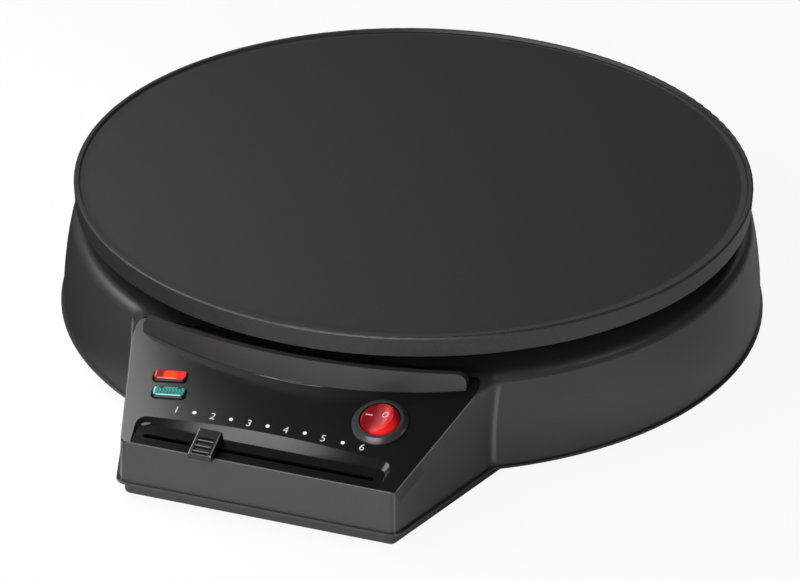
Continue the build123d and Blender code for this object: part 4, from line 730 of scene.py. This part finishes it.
def bar_mesh(length, width):
    """A straight mark, cut across in eight so that it can follow a hollow."""
    mesh = bpy.data.meshes.new("bar")
    shape = bmesh.new()
    bmesh.ops.create_grid(shape, x_segments=8, y_segments=1, size=1.0)
    bmesh.ops.scale(shape, vec=(length / 2, width / 2, 1.0), verts=shape.verts[:])
    thicken(shape)
    shape.to_mesh(mesh)
    shape.free()
    return mesh


# %% Dots between the numbers
DOT_RADIUS = 0.85 * MM
DOTS = ((-35.2, 21.4), (-18.8, 21.5), (-2.6, 21.6), (13.9, 21.6), (31.0, 20.4))

for number, (across, uphill) in enumerate(DOTS, start=1):
    lay(disc_mesh("dot", DOT_RADIUS, 0), f"dot_{number}", across, uphill, WHITE_INK, *ON_HOUSING)
print("dots", len(DOTS))

# %% Marks of the switch
BAR_LENGTH, BAR_WIDTH = 3.1 * MM, 0.66 * MM
BAR_PLACE = (SWITCH_ACROSS - 5.0, SWITCH_UPHILL + 1.2)
RING_RADIUS, RING_HOLE = 1.5 * MM, 1.0 * MM
RING_PLACE = (SWITCH_ACROSS + 2.2, SWITCH_UPHILL + 1.6)

lay(bar_mesh(BAR_LENGTH, BAR_WIDTH), "mark_on", *BAR_PLACE, ROSE_INK, *ON_ROCKER)
lay(disc_mesh("ring", RING_RADIUS, RING_HOLE), "mark_off", *RING_PLACE, ROSE_INK, *ON_ROCKER)
print("bar at", BAR_PLACE, "and ring at", RING_PLACE, "mm on the panel")

# %% [markdown]
# ## Floor
#
# The machine stands on a white table.  Towards the camera the table is almost plain white, which
# comes from a mix of its own paper with an even white, so that its shadow stays.  Black plastic
# mirrors the table, so the table is also given a black side on the left where the machine mirrors
# it, as a photographer does with black card to draw the edge of a dark object on white.  In front
# and on the right the mirrored table is plain white instead, which lights the walls there.

# %% Floor
FLOOR_SIZE = 14.0
WHITE_TO_CAMERA = 0.92

floor_mesh = bpy.data.meshes.new("floor")
shape = bmesh.new()
bmesh.ops.create_grid(shape, x_segments=1, y_segments=1, size=FLOOR_SIZE / 2)
shape.to_mesh(floor_mesh)
shape.free()
floor = bpy.data.objects.new("floor", floor_mesh)
scene.collection.objects.link(floor)
print("floor", FLOOR_SIZE, "m")


# %% Its paper, and what black plastic mirrors of it
def mixed(finish, factor, first, second):
    """Mix of two shader nodes."""
    mix = finish.add("ShaderNodeMixShader", None, {0: factor})
    finish.tree.links.new(first.outputs[0], mix.node.inputs[1])
    finish.tree.links.new(second.outputs[0], mix.node.inputs[2])
    return mix.node


def white_paper():
    """Paper that keeps its shadow, with a black card and white parts in its mirror image."""
    finish = Finish("white_paper")
    finish.set(Base_Color=(0.86, 0.86, 0.86), Roughness=0.9)
    place = finish.add("ShaderNodeSeparateXYZ", None, {"Vector": finish.place()})
    x, y = place["X"], place["Y"]  # in metres
    black_card = finish.mask(x, -0.08, -0.14)
    front_white = finish.remap(y, -0.14, -0.21, 0.0, 0.98) * finish.mask(x, -0.12, -0.07)
    right_white = finish.remap(x, 0.14, 0.18, 0.0, 0.95) * finish.remap(y, -0.09, 0.03, 1.0, 0.3)
    path = finish.add("ShaderNodeLightPath")
    seen, mirrored = path["Is Camera Ray"], path["Is Glossy Ray"]
    white = finish.add("ShaderNodeEmission", None, {"Color": (1.0, 1.0, 1.0), "Strength": 1.0}).node
    black = finish.add("ShaderNodeEmission", None, {"Color": (0.0, 0.0, 0.0), "Strength": 0.0}).node
    carded = mixed(finish, mirrored * black_card, finish.shader, black)
    whitened = seen * WHITE_TO_CAMERA + mirrored * front_white.greater(right_white)
    shown = mixed(finish, whitened, carded, white)
    finish.tree.links.new(shown.outputs[0], finish.tree.nodes["Material Output"].inputs["Surface"])
    return finish


floor_mesh.materials.append(white_paper().material)
print("floor paper", floor_mesh.materials[0].name)

# %% [markdown]
# ## Light
#
# Black plastic shows almost nothing but what it mirrors, so the size and place of the lamps matter
# more than their strength.  The lamp over the panel ends above the machine, and the blurred mirror
# image of its end is the slow change from grey to black across the panel.

# %% Lamps
WATTS = 4.0  # of a lamp of one square metre with a brightness of 1
AIM = Vector((0.0, 0.0, 0.04))
LEAN = math.radians(30)


def lamp(name, place, turn, size, brightness):
    """A rectangular lamp whose watts follow its area, so that its face is equally bright at any size."""
    light =bpy.data.lights.new(name, "AREA")
    light.shape = "RECTANGLE"
    light.size, light.size_y = size
    light.energy = brightness * WATTS * size[0] * size[1]
    holder = bpy.data.objects.new(name, light)
    holder.location = place
    holder.rotation_euler = turn
    scene.collection.objects.link(holder)


def at_machine(place):
    """Turn of a lamp at that place which aims it at the machine."""
    return (AIM - Vector(place)).to_track_quat("-Z", "Y").to_euler()


FRONT, BACK, RIGHT = (-0.2, -1.3, 0.34), (-0.1, 1.7, 1.0), (1.09, -0.09, 0.86)
lamp("softbox_panel", (-0.425, -0.150, 0.45), (0.0, 0.0, LEAN), (0.5, 0.6), 3.0)
lamp("softbox_above", (-1.2, -0.4, 0.90), (0.0, -LEAN, LEAN), (1.0, 1.0), 0.8)
lamp("softbox_front", FRONT, at_machine(FRONT), (1.0, 0.5), 7.0)
lamp("softbox_back", BACK, at_machine(BACK), (1.4, 0.5), 0.9)
lamp("softbox_right", RIGHT, at_machine(RIGHT), (0.25, 0.25), 3.0)

# %% Dim, slightly blue room
ROOM_COLOUR = (0.95, 0.96, 1.0, 1.0)
ROOM_BRIGHTNESS = 0.08

room = bpy.data.worlds.new("room")
room.use_nodes = True
background = room.node_tree.nodes["Background"]
background.inputs["Color"].default_value = ROOM_COLOUR
background.inputs["Strength"].default_value = ROOM_BRIGHTNESS
scene.world = room
print("room", room.name, ROOM_BRIGHTNESS)
